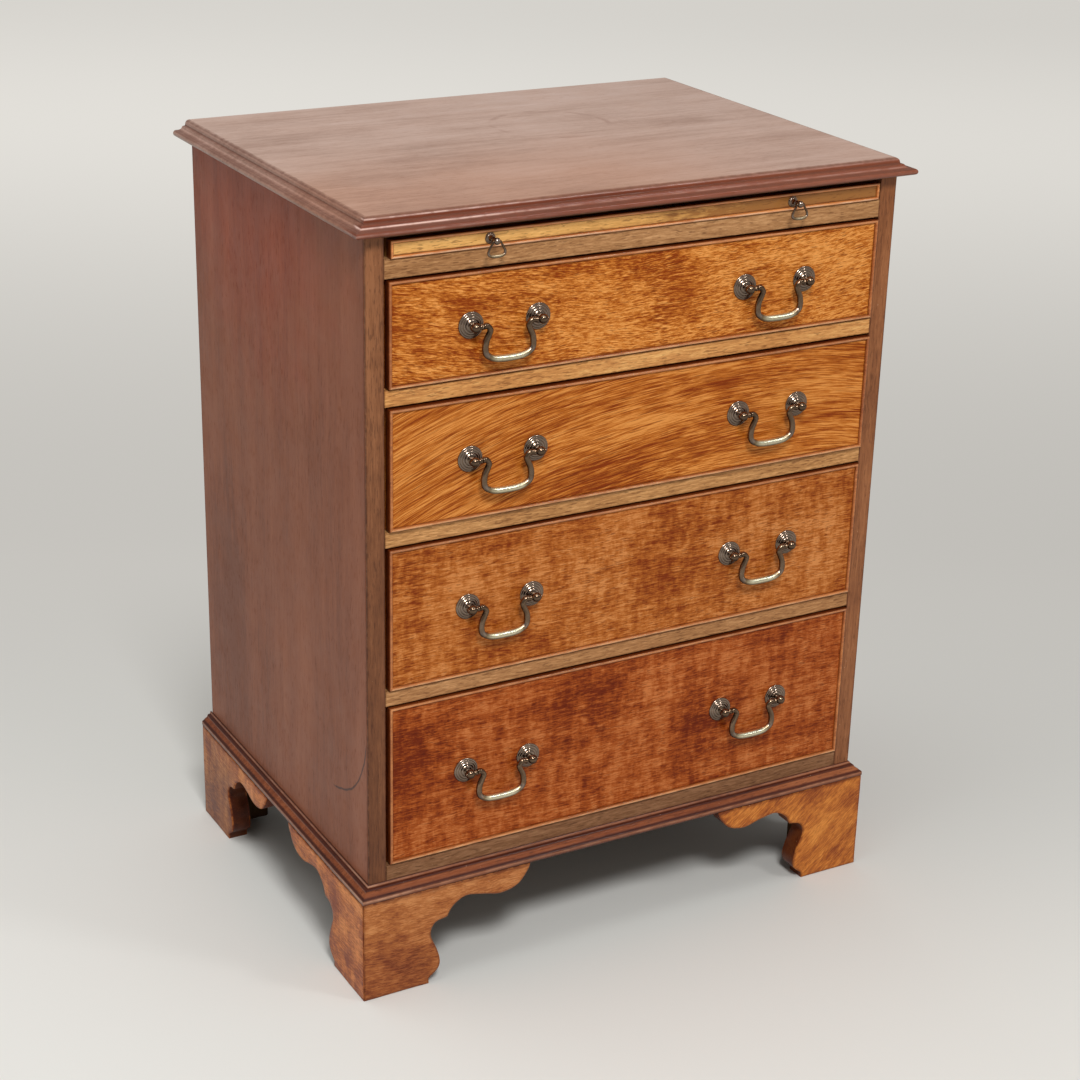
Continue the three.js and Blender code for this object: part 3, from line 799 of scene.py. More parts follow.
class CHEST_OT_stage(bpy.types.Operator):
    """Makes the floor, the soft studio light and the camera"""
    bl_idname = "chest.stage"
    bl_label = "Stage"

    def execute(self, context):
        context.scene.view_settings.view_transform = "Standard"
        make_camera()
        make_floor()
        make_world()
        for lamp in LAMPS:
            make_lamp(*lamp)
        return {"FINISHED"}


# Case


TOP_QUIRKS = (0.8, 5.6, 10.0, 15.5)
# Arrises of the top's moulding, in millimetres down, where highlight lines are painted
TOP_ARRISES = (2.3, 8.7, 12.7)
BASE_QUIRKS = (0.0, 5.8, 11.8, 15.8)
# Arrises of the base moulding, in millimetres up, where wear lightens it and highlight lines are painted
BASE_ARRISES = (3.9, 14.1)


def quirk(level, lines, width):
    """1 on a moulding's incised lines, in millimetres, and 0 away from them"""
    return max(0.0, 1.0 - min(abs(level - line) for line in lines) / width)


def top_section():
    """The moulded edge as (outwards, down) in millimetres from the case's face"""
    section = [(-3.5, 0.0), (-2.3, 0.12), (-1.2, 0.5), (-0.2, 1.15), (0.55, 2.05), (1.05, 3.1), (1.3, 4.2),
               (1.35, 5.3), (1.7, 5.75), (2.9, 5.95), (3.9, 6.1), (4.5, 6.5), (4.8, 7.15), (5.0, 7.8),
               (5.9, 8.75), (7.2, 9.4), (8.8, 9.75), (10.5, 9.85), (10.75, 10.1)]
    return section + arc_points((11.35, 12.85), 3.15, -110, 90, 12)


class CHEST_OT_top(bpy.types.Operator):
    """Makes the moulded top board and the board under it"""
    bl_idname = "chest.top"
    bl_label = "Top"

    def execute(self, context):
        (left, right), (front, back), (under, top) = spans("top_board")
        side_overhang, front_overhang = CASE_LEFT - left, CASE_FRONT - front
        tip = max(out for out, down in top_section())
        rings = []
        for inset, rim in ((110.0, 90.0), (40.0, 40.0), (16.0, 16.0), (8.0, 8.0), (5.0, 5.0)):
            side_inset = inset * MM + side_overhang
            front_inset = inset * MM + front_overhang
            rings.append(((side_inset, side_inset, front_inset, inset * MM), top, rim * MM))
        for out, down in top_section():
            side_inset = side_overhang - out * MM * side_overhang / (tip * MM)
            front_inset = front_overhang - out * MM * front_overhang / (tip * MM)
            near = min(abs(down - line) for line in TOP_QUIRKS)
            rings.append(((side_inset, side_inset, front_inset, 0.0), top - down * MM, near * MM))
        rings.append(((30 * MM,) * 4, TOP_UNDERSIDE, 12 * MM))
        form = stacked(((left, right), (front, back)), rings, lambda x, y, z: (x, y, z))

        def worn(point):
            drift = noise.noise(point * 21.0) * 0.28 + noise.noise(point * 95.0) * 0.12
            low = clamp((point.z - TOP_UNDERSIDE) / (12 * MM))
            forward = point.y < CASE_FRONT + 2 * MM
            pull = min(0.0, (drift - 0.2) * MM * (1.0 if forward else 0.5))
            side = -1.0 if point.x > CASE_RIGHT - 2 * MM else 1.0 if point.x < CASE_LEFT + 2 * MM else 0.0
            return (point.x - side * pull, point.y - forward * pull, point.z - abs(drift) * low * 0.1 * MM)

        def ahead(point):
            return 1.0 if point.y < CASE_FRONT + 6 * MM else 0.0

        # The moulding darkens from the painted sheen in the top's tone towards the wood's own red brown, and
        # the sides darken less than the front as a painted reflection
        def moulded(point):
            down = (top - point.z) / MM
            rim = clamp((CASE_FRONT + 5 * MM - point.y) / (4 * MM))
            return max(min(1.0, max(0.0, down - 0.05) * 0.5), 0.4 * rim) * (0.38 + 0.54 * ahead(point) * rim)

        # Painted highlight: pale lines on the arrises, strongest on the front towards the left, for the
        # lamps' reflections on the edge
        def painted_highlight_lines(point):
            down = (top - point.z) / MM
            leftward = clamp((-0.08 - point.x) / 0.12)
            strength = 0.08 + ahead(point) * (0.12 + 0.65 * leftward)
            return min(1.0, 1.3 * strength * quirk(down, TOP_ARRISES, 0.8) * (0.5 if down > 11 else 1.0))

        form.mark("edge", moulded)
        form.mark("rub", painted_highlight_lines)
        form.move(worn)
        add_piece("top_moulded_board", form, "case", top_finish(), "mahogany_top", "top_board")
        core = [(OPENING_LEFT + 0.3 * MM, OPENING_RIGHT - 0.3 * MM),
                (CASE_FRONT + 0.2 * MM, CASE_BACK - 9 * MM), (under, TOP_UNDERSIDE - 0.1 * MM)]
        rail = timber("under_top_mahogany", colours().stile, dirt=0.7)
        add_piece("top_under_board", board(core, sizes().arris), "case", rail, "mahogany_rail", "top_board")
        return {"FINISHED"}


TOP_FACE = span("top_board", 2)[1]
STAIN_RADIUS = 0.062


def top_finish():
    def stain(wood):
        """A broken ring mark"""
        away = wood.vector("SUBTRACT", wood.place, (0.046, 0.060, TOP_FACE))
        away = wood.vector("DIVIDE", away, (STAIN_RADIUS, STAIN_RADIUS, 1.0))
        reach = wood.vector("LENGTH", away, output=1)
        line = wood.ease(wood.maths("ABSOLUTE", reach - 1.0), 0.02, 0.07, 1.0, 0.0)
        return line * wood.ease(wood.noise(wood.place, 22.0), 0.45, 0.6)

    def fore(wood):
        """The browner front half"""
        back = wood.part(wood.place, 1)
        ahead = wood.ease(back + (wood.noise(wood.place, 9.0) - 0.5) * 0.12, -0.17, 0.08, 1.0, 0.0)
        return ahead * wood.ease(wood.part(wood.place, 0), -0.02, 0.20, 1.0, 0.25)

    places = [((-0.062, -0.122, TOP_FACE), (0.040, 0.011, 0.02), 0.18),
              ((0.19, 0.02, TOP_FACE), (0.05, 0.03, 0.02), -0.2),
              ((-0.10, -0.02, TOP_FACE), (0.14, 0.08, 0.02), -0.2)]
    # The glint tone is painted along the moulding's arrises as highlight lines
    return timber("mahogany_top", colours().top, deep=(0.66, 0.57, 0.52), pale=(1.18, 1.28, 1.38), warp=0.02,
                  layers=((0.9, 3.0, 30.0), (0.6, 10.0, 170.0), (0.6, 60.0, 620.0)), cloud=0.7,
                  cloud_scale=6.0, flecks=0.16, rough=0.34, gloss=0.3, coat=0.25, coat_rough=0.16, dirt=0.75,
                  dirt_width=1.5 * MM, wear=0.0, relief=0.8, edge=(0.40, 0.11, 0.02), places=places,
                  painted_glint=tone(232, 196, 182),
                  stains=[(stain, (0.72, 0.62, 0.58), 0.6), (fore, (0.88, 0.715, 0.605), 1.0)])


def side_outline(left, right):
    """Plan of the left case side behind its facing, with the rebate for the back"""
    front = CASE_FRONT + 2.2 * MM
    rebate = left + SIDE_THICKNESS - 8 * MM
    inner = CASE_BACK - 8.3 * MM
    return [(left, front), (left, CASE_BACK), (rebate, CASE_BACK), (rebate, inner), (right, inner),
            (right, front)]


def prism(plan, low, high):
    """A plan of straight lines carried upwards, its corners eased"""
    radius = 0.6 * MM
    spacing = 40 * MM
    outline = []
    count = len(plan)
    for index in range(count):
        here, following = Vector(plan[index]), Vector(plan[(index + 1) % count])
        way = following - here
        for stop in edge_stops(0.0, way.length, min(radius, way.length * 0.3), spacing)[3:-3]:
            outline.append((here + way.normalized() * stop, min(stop, way.length - stop)))
    form = Form()
    rows = []
    for level in edge_stops(low, high, radius, spacing):
        away = min(level - low, high - level)
        rows.append([form.point((place.x, place.y, level), min(near, away + 2 * MM))
                     for place, near in outline])
    return form.skin(rows)


def mirrored(form):
    return form.move(lambda point: (-point.x, point.y, point.z))


class CHEST_OT_case(bpy.types.Operator):
    """Makes the case sides, the stiles and the back boards"""
    bl_idname = "chest.case"
    bl_label = "Case"

    def execute(self, context):
        low, high = span("stile_left", 2)
        side = {"left": side_finish(), "right": side_wood("mahogany_side_right")}
        stile = {
            "left": stile_wood("mahogany_stile", (1.0, 1.0, 1.0),
                               [((CASE_LEFT, CASE_FRONT, 0.68), (0.03, 0.03, 0.20), 0.5),
                                ((CASE_LEFT, CASE_FRONT, 0.16), (0.03, 0.03, 0.30), -0.2)]),
            "right": stile_wood("mahogany_stile_right", (1.42, 1.42, 1.35), []),
        }
        for hand in HANDS:
            panel = prism(side_outline(CASE_LEFT, CASE_LEFT + SIDE_THICKNESS), low, high)
            facing = board([(CASE_LEFT, OPENING_LEFT), (CASE_FRONT, CASE_FRONT + 2.1 * MM), (low, high)],
                           0.7 * MM)
            packing = board([(CASE_LEFT + SIDE_THICKNESS + 0.1 * MM, OPENING_LEFT),
                             (CASE_FRONT + 2.2 * MM, CASE_FRONT + 22 * MM), (low, high)], 0.5 * MM)
            uneven(facing, 0.12 * MM, 60.0)
            for form in (panel, facing, packing):
                if hand == "right":
                    mirrored(form)
            add_piece(f"case_side_{hand}", panel, "case", side[hand], "mahogany_side", f"side_{hand}")
            for part, form in (("facing", facing), ("packing", packing)):
                add_piece(f"stile_{part}_{hand}", form, "case", stile[hand], "mahogany_stile",
                          f"stile_{hand}")
        self.make_back()
        return {"FINISHED"}

    def make_back(self):
        (left, right), (front, back), (low, high) = spans("back_panel")
        finish = timber("pine_back", colours().back, "z", **BROWN, warp=0.03, flecks=0.2, rough=0.68,
                        gloss=0.2, coat=0.0, dirt=0.6)
        seams = [left, left + 0.172, left + 0.361, right]
        for number, (first, last) in enumerate(zip(seams, seams[1:]), 1):
            plank = board([(first, last - 0.6 * MM), (front, back), (low, high)], 0.9 * MM)
            add_piece(f"back_board_{number}", plank, "case", finish, "back_boards", "back_panel")


def stile_wood(name, share, places):
    return timber(name, scaled(colours().stile, share), "z", **BROWN, gloss=0.3, coat=0.1,
                  layers=((0.6, 4.0, 60.0), (0.6, 14.0, 300.0), (0.8, 60.0, 700.0)), flecks=0.4, rough=0.46,
                  dirt=0.6, dirt_width=2.0 * MM, wear=0.5, specks=0.5, places=places)


CRACK_RADIUS = 0.088


def side_finish():
    def crack(wood):
        """A curved hair crack low down by the front corner"""
        away = wood.vector("SUBTRACT", wood.place, (CASE_LEFT, -0.1170, 0.2860))
        away = wood.vector("MULTIPLY", away, (0.0, 1.0 / CRACK_RADIUS, 1.0 / CRACK_RADIUS))
        reach = wood.vector("LENGTH", away, output=1)
        stray = wood.noise(wood.place, 60.0, 2.0)
        line = wood.ease(wood.maths("ABSOLUTE", reach - 1.0 + (stray - 0.5) * 0.05), 0.007, 0.018, 1.0, 0.0)
        return line * wood.spot((CASE_LEFT, -0.168, 0.235), (0.02, 0.060, 0.060), 0.0, 0.8)

    def redder(wood):
        return wood.spot((CASE_LEFT, 0.06, 0.80), (0.05, 0.30, 0.30), 0.5, 0.2)

    return side_wood("mahogany_side", [((CASE_LEFT, 0.15, 0.26), (0.05, 0.10, 0.26), -0.55)],
                     [(crack, (0.22, 0.16, 0.16), 0.9), (redder, (1.12, 0.70, 0.54), 1.0)])


def side_wood(name, places=(), stains=()):
    return timber(name, colours().side, "z", deep=(0.72, 0.66, 0.60), pale=(1.22, 1.36, 1.60), warp=0.03,
                  warp_scale=2.6, layers=((1.3, 2.4, 30.0), (0.8, 8.0, 160.0), (0.8, 50.0, 480.0)),
                  cloud=0.7, cloud_scale=4.0, flecks=0.25, rough=0.42, gloss=0.25, coat=0.08, dirt=0.4,
                  dirt_width=3 * MM, wear=0.3, places=places, stains=stains)


# The rails from the bottom up, with what each one's tone is multiplied by: painted shade and light, darkest
# at the bottom
RAILS = (
    ("bottom_rail_and_board", (0.42, 0.40, 0.50)),
    ("rail_3_and_dustboard", (0.78, 0.78, 0.86)),
    ("rail_2_and_dustboard", (0.95, 0.98, 1.0)),
    ("rail_1_and_dustboard", (1.22, 1.18, 1.06)),
    ("slide_rail_and_dustboard", (0.80, 0.84, 0.98)),
)


class CHEST_OT_dividers(bpy.types.Operator):
    """Makes the rails and the dustboards behind them"""
    bl_idname = "chest.dividers"
    bl_label = "Rails and dustboards"

    def execute(self, context):
        look = dict(**BROWN, gloss=0.2, coat=0.04, cloud=0.35, flecks=0.55, rough=0.52,
                    layers=((0.5, 5.0, 70.0), (0.6, 16.0, 300.0), (1.2, 80.0, 650.0)), dirt=0.5,
                    dirt_width=1.6 * MM, wear=0.25, specks=0.2)
        dust = timber("pine_dustboard", colours().back, **BROWN, flecks=0.2, rough=0.72, gloss=0.2, coat=0.0,
                      dirt=0.3)
        # Painted shade: the board under the bottom rail is made far darker than the pine, for the shade
        # under the chest
        under = timber("pine_underside", scaled(colours().back, (0.16, 0.14, 0.12)), rough=0.85, gloss=0.1,
                       coat=0.0)
        inner = (CASE_LEFT + SIDE_THICKNESS + 0.2 * MM, CASE_RIGHT - SIDE_THICKNESS - 0.2 * MM)
        for node, share in RAILS:
            (_, _), (front, back), (low, high) = spans(node)
            name = node.split("_and_")[0]
            rail = timber(f"mahogany_{name}", scaled(colours().rail, share), **look)
            lowest = name.startswith("bottom")
            thickness = (14 if lowest else 10) * MM
            depth = (22 if lowest else 60) * MM
            face = [(OPENING_LEFT + 0.2 * MM, OPENING_RIGHT - 0.2 * MM), (front, front + depth), (low, high)]
            form = uneven(board(face, 0.6 * MM, 25 * MM), 0.10 * MM, 50.0, low * 90)
            add_piece(name, form, "case", rail, "mahogany_rail", node)
            sheet = [inner, (front + depth + 0.3 * MM, back), (high - thickness, high)]
            finish = under if lowest else dust
            add_piece(f"{name}_board", board(sheet, 0.6 * MM), "case", finish, "back_boards", node)
        return {"FINISHED"}


# Base


def base_section():
    """The base moulding as (outwards, up) in millimetres from the case's face and the feet's tops"""
    return [(0.3, 0.3), (0.3, 15.6), (0.9, 15.25), (1.45, 14.6), (1.8, 13.7), (1.85, 12.9), (2.15, 12.45),
            (3.1, 12.4), (4.1, 11.95), (4.9, 11.2), (5.3, 10.2), (5.35, 9.6), (5.7, 9.2), (7.0, 8.5),
            (8.4, 7.4), (9.6, 6.35), (10.4, 5.9), (11.1, 5.4), (11.5, 4.7), (11.6, 3.8), (11.6, 0.9),
            (11.3, 0.3)]


class CHEST_OT_base_moulding(bpy.types.Operator):
    """Makes the base moulding's three mitred lengths"""
    bl_idname = "chest.base_moulding"
    bl_label = "Base moulding"

    def execute(self, context):
        front = span("base_moulding_front", 1)[0]
        back = span("base_moulding_left", 1)[1]
        projection = CASE_FRONT - front
        # The glint tone paints highlight lines on the moulding's arrises
        finish = timber("mahogany_moulding", colours().moulding, gloss=0.3, coat=0.2, coat_rough=0.12,
                        rough=0.34, dirt=0.0, wear=0.5, specks=0.7, edge=(0.22, 0.12, 0.08),
                        painted_glint=tone(226, 178, 146),
                        places=[((0.30, CASE_FRONT, 0.12), (0.16, 0.05, 0.05), 0.4)])
        section = [(projection - out * MM, up * MM) for out, up in base_section()]
        rims = [(0.2 + min(abs(up - edge) for edge in BASE_ARRISES)) * MM for out, up in base_section()]
        edges = [max(0.25, min(1.0, 1.5 * quirk(up, BASE_QUIRKS, 1.8))) for out, up in base_section()]
        # Painted highlight lines along the arrises
        rubs_and_highlights = [0.3 * quirk(up, BASE_ARRISES, 1.1) for out, up in base_section()]
        outer = CASE_LEFT - projection

        def ahead(along, inset, up):
            return (along, front + inset, FOOT_TOP + up)

        def aside(along, inset, up):
            return (outer + inset, along, FOOT_TOP + up)

        form = self.worn(strip(section, outer, -outer, (1, 1), ahead, rims, edges, rubs_and_highlights))
        add_piece("base_moulding_front_length", form, "case", finish, "mahogany_base", "base_moulding_front")
        for hand in HANDS:
            form = self.worn(strip(section, front, back, (1, 0), aside, rims, edges, rubs_and_highlights))
            if hand == "right":
                mirrored(form)
            node = f"base_moulding_{hand}"
            add_piece(f"{node}_length", form, "case", finish, "mahogany_base", node)
        return {"FINISHED"}

    def worn(self, form):
        # Painted highlight: the highlight lines grow up to three times as strong near the front left corner
        for index, point in enumerate(form.points):
            near = (Vector((CASE_LEFT, CASE_FRONT, point.z)) - point).length
            form.marks["rub"][index] *= 1.0 + 2.0 * max(0.0, 1.0 - near / 0.06)

        def change(point):
            drift = (noise.noise(point * 30.0) * 0.5 - 0.3) * 0.3 * MM
            pull = max(0.0, -drift) * clamp((FOOT_TOP + 12 * MM - point.z) / (9 * MM))
            return (point.x - math.copysign(pull, point.x) * (abs(point.x) > CASE_RIGHT),
                    point.y + pull * (point.y < CASE_FRONT), point.z)

        return form.move(change)


BRACKET_LENGTH = 188.0
TOE = 0.386
OGEE = [(0.44, 0.136), (0.452, 0.226), (0.435, 0.35), (0.397, 0.52), (0.423, 0.629), (0.495, 0.662)]
ARCH = [(0.53, 0.76), (0.606, 0.828), (0.7, 0.805), (0.812, 0.76), (0.918, 0.8), (0.982, 0.923),
        (1.0, 0.995)]
BACK_OUTLINE = [(0.4, 0.5), (0.5, 0.78), (0.7, 0.995)]
PLINTH = 6.0
BRACKET_THICKNESS = 22 * MM
BACK_THICKNESS = 18 * MM
# Where the back's bracket starts, and how far its outline is moved, from the foot's outer corner
BACK_START = 22.3 * MM
BACK_SHIFT = 11 * MM
MITRE_REACH = 14 * MM


def straight_run(first, last, count):
    return [first.lerp(last, step / count) for step in range(count)]


def placed(shares, shift=0.0):
    """Places of an outline given as shares of a bracket's length and height"""
    return [Vector((shift + along * BRACKET_LENGTH * MM, up * FOOT_TOP)) for along, up in shares]


def bracket_outline():
    """A bracket's outline in metres from the foot's outer corner, anticlockwise from its sole"""
    toe = Vector((TOE * BRACKET_LENGTH * MM, 0.0))
    step = Vector((toe.x, PLINTH * MM))
    ogee = curve_through([step, *placed(OGEE)], 5)
    arch = curve_through(placed(OGEE[-1:] + ARCH), 5)
    corner, high = Vector((0.0, 0.0)), Vector((0.0, FOOT_TOP))
    return (straight_run(corner, toe, 6) + straight_run(toe, step, 2) + ogee[:-1] + arch
            + straight_run(arch[-1], high, 14)[1:] + straight_run(high, corner, 8))


def back_bracket_outline():
    """The outline of the plain bracket under the back, laid out in the same way"""
    toe = Vector((BACK_SHIFT + TOE * BRACKET_LENGTH * MM - BRACKET_THICKNESS, 0.0))
    step = Vector((toe.x, PLINTH * MM))
    curve = curve_through([step, *placed(BACK_OUTLINE, BACK_SHIFT)], 6)
    corner, high = Vector((BACK_START, 0.0)), Vector((BACK_START, FOOT_TOP))
    return (straight_run(corner, toe, 4) + straight_run(toe, step, 2) + curve
            + straight_run(curve[-1], high, 8)[1:] + straight_run(high, corner, 6))


def foot_finish(name, middle, **changes):
    values = dict(deep=(0.46, 0.28, 0.20), pale=(1.45, 1.90, 2.9), cloud=1.3, cloud_scale=15.0, flecks=0.3,
                  crisp=True, gold=0.3, fleck_scales=(110.0, 900.0), warp=0.02, warp_scale=9.0,
                  layers=((0.5, 8.0, 60.0), (0.5, 50.0, 90.0), (0.8, 90.0, 800.0)), rough=0.42, gloss=0.25,
                  coat=0.12, dirt=0.6, dirt_width=2.2 * MM, wear=0.4, specks=0.5, edge=(0.22, 0.14, 0.12))
    values.update(changes)
    return timber(name, middle, **values)


class CHEST_OT_feet(bpy.types.Operator):
    """Makes the four bracket feet and their corner blocks"""
    bl_idname = "chest.feet"
    bl_label = "Feet"

    def execute(self, context):
        front = span("foot_front_left", 1)[0]
        back = span("foot_back_left", 1)[1]
        outer = span("foot_front_left", 0)[0]

        # Darker at the feet's tops, just under the moulding
        def darker_under_moulding(wood):
            level = wood.part(wood.place, 2) + (wood.noise(wood.place, 60.0) - 0.5) * 12 * MM
            return wood.ease(level, FOOT_TOP - 6 * MM, FOOT_TOP)

        def back_damp(wood):
            return wood.spot((outer, back - 0.05, 0.03), (0.05, 0.16, 0.12), 0.6, 0.3)

        def front_damp(wood):
            return wood.spot((outer + 0.03, front, 0.0), (0.09, 0.04, 0.085), 0.8, 0.3)

        def mitred(along, depth):
            return along + max(0.0, 1.0 - along / MITRE_REACH) * (depth + 0.05 * MM)

        stains = [(darker_under_moulding, (0.42, 0.30, 0.26), 0.55), (back_damp, (0.62, 0.66, 0.80), 1.0),
                  (front_damp, (0.86, 0.78, 0.76), 1.0)]
        middle = colours().foot
        level_grain = foot_finish("mahogany_foot", middle, stains=stains)
        slant_grain = foot_finish("mahogany_foot_slant", scaled(middle, (1.24, 1.15, 0.6)), stains=stains,
                                  turn=((0.0, 1.0, 0.0), math.radians(38)), shift=(0.3, 0.0, 0.2))
        cross_grain = foot_finish("mahogany_foot_side", scaled(middle, (1.35, 1.22, 0.9)), stains=stains,
                                  turn=((0.0, 0.0, 1.0), math.radians(90)),
                                  layers=((0.6, 8.0, 50.0), (0.8, 50.0, 14.0), (0.8, 90.0, 800.0)))
        # Painted shade: the corner blocks and back brackets are made far darker than the pine, for the shade
        # under the chest
        plain = timber("pine_block", scaled(colours().back, (0.22, 0.18, 0.15)), "z", rough=0.8, gloss=0.1,
                       coat=0.0)
        outline = bracket_outline()
        inner = -outer - BRACKET_THICKNESS
        for hand in HANDS:
            flip = -1.0 if hand == "left" else 1.0
            face = slant_grain if hand == "right" else level_grain

            def ahead(along, up, depth):
                return (flip * (-outer - mitred(along, depth)), front + depth, up)

            def aside(along, up, depth):
                return (flip * (-outer - depth), front + mitred(along, depth), up)

            def rear_side(along, up, depth):
                return (flip * (-outer - depth), back - along, up)

            def rear(along, up, depth):
                return (flip * (-outer - along), back - 2 * MM - depth, up)

            node = f"foot_front_{hand}"
            self.bracket(node, "face", outline, BRACKET_THICKNESS, ahead, flip, face)
            self.bracket(node, "side", outline, BRACKET_THICKNESS, aside, 3 + flip, cross_grain)
            self.block(node, flip, inner, front + BRACKET_THICKNESS, 1.0, plain)
            node = f"foot_back_{hand}"
            self.bracket(node, "side", outline, BRACKET_THICKNESS, rear_side, 6 + flip, cross_grain)
            self.bracket(node, "bracket", back_bracket_outline(), BACK_THICKNESS, rear, 9 + flip, plain)
            self.block(node, flip, inner, back - BACK_THICKNESS - 2 * MM, -1.0, plain)
        return {"FINISHED"}

    def bracket(self, node, part, outline, thickness, put, lot, finish):
        form = uneven(plate(outline, thickness, sizes().worn_arris, put), 0.3 * MM, 45.0, lot)
        add_piece(f"{node}_{part}", form, "case", finish, "mahogany_foot", node)

    def block(self, node, flip, inner_x, inner_y, direction, finish):
        side = 34 * MM
        across = sorted((flip * (inner_x - side), flip * (inner_x - 0.2 * MM)))
        deep = sorted((inner_y + direction * 0.2 * MM, inner_y + direction * side))
        form = board([across, deep, (PLINTH * MM, FOOT_TOP)], 3 * MM)
        add_piece(node + "_block", uneven(form, 0.5 * MM, 30.0), "case", finish, "back_boards", node)


# Drawers and slide


BEAD_PROUD = 2.4 * MM
BEAD_DEPTH = 7.6 * MM
REBATE_DEPTH = 8 * MM
DRAWER_BEAD = 3.2 * MM
SLIDE_BEAD = 2.8 * MM
BEAD_LOOK = dict(rough=0.3, gloss=0.3, coat=0.2, coat_rough=0.12, flecks=0.3, dirt=0.0, wear=0.0)


def bead_strips(name, across, upright, face, width, nose, body, finish, node):
    """Four mitred strips round a front"""
    (left, right), (low, high) = across, upright
    section = [(0.05 * MM, BEAD_DEPTH), (0.0, 0.4 * BEAD_DEPTH)]
    section += [(width / 2 + x * width / 2, -BEAD_PROUD + nose + y * nose)
                for x, y in arc_points((0.0, 0.0), 1.0, 180, 360, 8)]
    section += [(width, 0.4 * BEAD_DEPTH), (width - 0.05 * MM, BEAD_DEPTH)]
    ways = {
        "top": ((left, right), lambda along, inset, reach: (along, face + reach, high - inset)),
        "bottom": ((left, right), lambda along, inset, reach: (along, face + reach, low + inset)),
        "left": ((low, high), lambda along, inset, reach: (left + inset, face + reach, along)),
        "right": ((low, high), lambda along, inset, reach: (right - inset, face + reach, along)),
    }
    rims = [4 * MM] * len(section)
    # Painted shade: the bead's sides are darkened for the gaps beside it, most on the outer side
    edges = [1.0, 1.0, 1.0, 0.8, 0.35, 0.1, 0.0, 0.0, 0.0, 0.2, 0.35, 0.4, 0.4]
    # Painted highlight along the bead's nose, strongest on the bottom bead
    painted_shines = {"top": 0.35, "bottom": 0.75, "left": 0.1, "right": 0.1}
    for side, ((start, end), put) in ways.items():
        rubs_and_highlights = [0.0] * 4 + [share * painted_shines[side] for share in (0.2, 0.8, 1.0, 0.4)] + [0.0] * 5
        form = strip(section, start, end, (1, 1), put, rims, edges, rubs_and_highlights, 8 * MM)
        drift = Vector((low * 40, 0.0, 0.0))
        for index, point in enumerate(form.points):
            if point.y < face - BEAD_PROUD * 0.3:
                dent = max(0.0, noise.noise(point * 55.0 + drift) - 0.1) * 0.7
                form.points[index] = point + Vector((0.0, dent * MM, 0.0))
        add_piece(f"{name}_{side}", form, body, finish, "mahogany_bead", node)


def front_form(across, upright, face, back, bead_width):
    """A front whose field stands inside a rebate for its bead"""
    inset = bead_width + 0.15 * MM
    radius = 0.5 * MM
    room = (upright[1] - upright[0]) / 2 * 0.86 - inset
    made = [((inset + reach * MM,) * 4, face, reach * MM) for reach in (36.0, 18.0, 9.0, 4.0, 1.6, 0.5)
            if reach * MM < room]
    rebate = face + REBATE_DEPTH
    for reach, level, rim in ((inset + 0.13 * radius, face + 0.13 * radius, 0.2 * MM),
                              (inset, face + radius, 0.0), (inset, rebate, 0.0), (0.1 * MM, rebate, 0.0),
                              (0.0, rebate + 0.3 * MM, 0.0), (0.0, back - 0.6 * MM, 0.0),
                              (0.6 * MM, back, 0.4 * MM), (3 * MM, back, 3 * MM)):
        made.append(((reach,) * 4, level, rim))
    return stacked((across, upright), made, lambda x, z, y: (x, y, z), spacing=20 * MM)


# Darker and lighter places of the drawers' faces: across, up, half width, half height and lighter by
FRONT_SPOTS = {
    1: [(-0.225, 0.738, 0.05, 0.016, -0.35), (-0.266, 0.69, 0.01, 0.05, -0.35),
        (0.01, 0.722, 0.05, 0.022, -0.4), (-0.075, 0.728, 0.03, 0.02, -0.3),
        (-0.19, 0.705, 0.022, 0.024, -0.35), (0.04, 0.7, 0.022, 0.03, -0.3),
        (0.115, 0.735, 0.026, 0.012, -0.25), (0.235, 0.69, 0.045, 0.045, 0.25),
        (0.12, 0.69, 0.07, 0.04, 0.2), (-0.055, 0.66, 0.09, 0.016, 0.12), (-0.03, 0.69, 0.05, 0.03, 0.2),
        (0.18, 0.72, 0.07, 0.03, 0.25), (-0.19, 0.665, 0.05, 0.02, -0.2), (0.05, 0.69, 0.04, 0.04, -0.25),
        (-0.19, 0.7, 0.08, 0.04, -0.2)],
    2: [(0.1, 0.575, 0.04, 0.03, -0.35), (0.085, 0.53, 0.05, 0.016, -0.25),
        (-0.06, 0.515, 0.11, 0.018, -0.35), (-0.02, 0.565, 0.12, 0.03, 0.3),
        (-0.2, 0.57, 0.06, 0.04, 0.12), (-0.11, 0.6, 0.03, 0.014, -0.25)],
    3: [(0.04, 0.4, 0.04, 0.06, -0.35), (-0.06, 0.4, 0.06, 0.05, 0.35), (-0.02, 0.45, 0.05, 0.03, 0.3),
        (0.13, 0.43, 0.07, 0.04, 0.2), (0.22, 0.41, 0.06, 0.05, 0.3), (-0.14, 0.355, 0.1, 0.016, -0.25),
        (-0.16, 0.43, 0.07, 0.03, 0.15)],
    4: [(-0.245, 0.24, 0.04, 0.08, -0.45), (0.08, 0.23, 0.045, 0.07, -0.3),
        (0.19, 0.27, 0.06, 0.04, -0.15), (0.03, 0.25, 0.05, 0.05, 0.3), (-0.06, 0.28, 0.08, 0.03, -0.3),
        (-0.1, 0.2, 0.08, 0.04, 0.15)],
}


def front_places(number):
    """The places of a drawer's face as (centre, radii, lighter by)"""
    return [((x, CASE_FRONT, z), (wide * 1.2, 0.05, high * 1.2), lighter * 0.7)
            for x, z, wide, high, lighter in FRONT_SPOTS[number]]


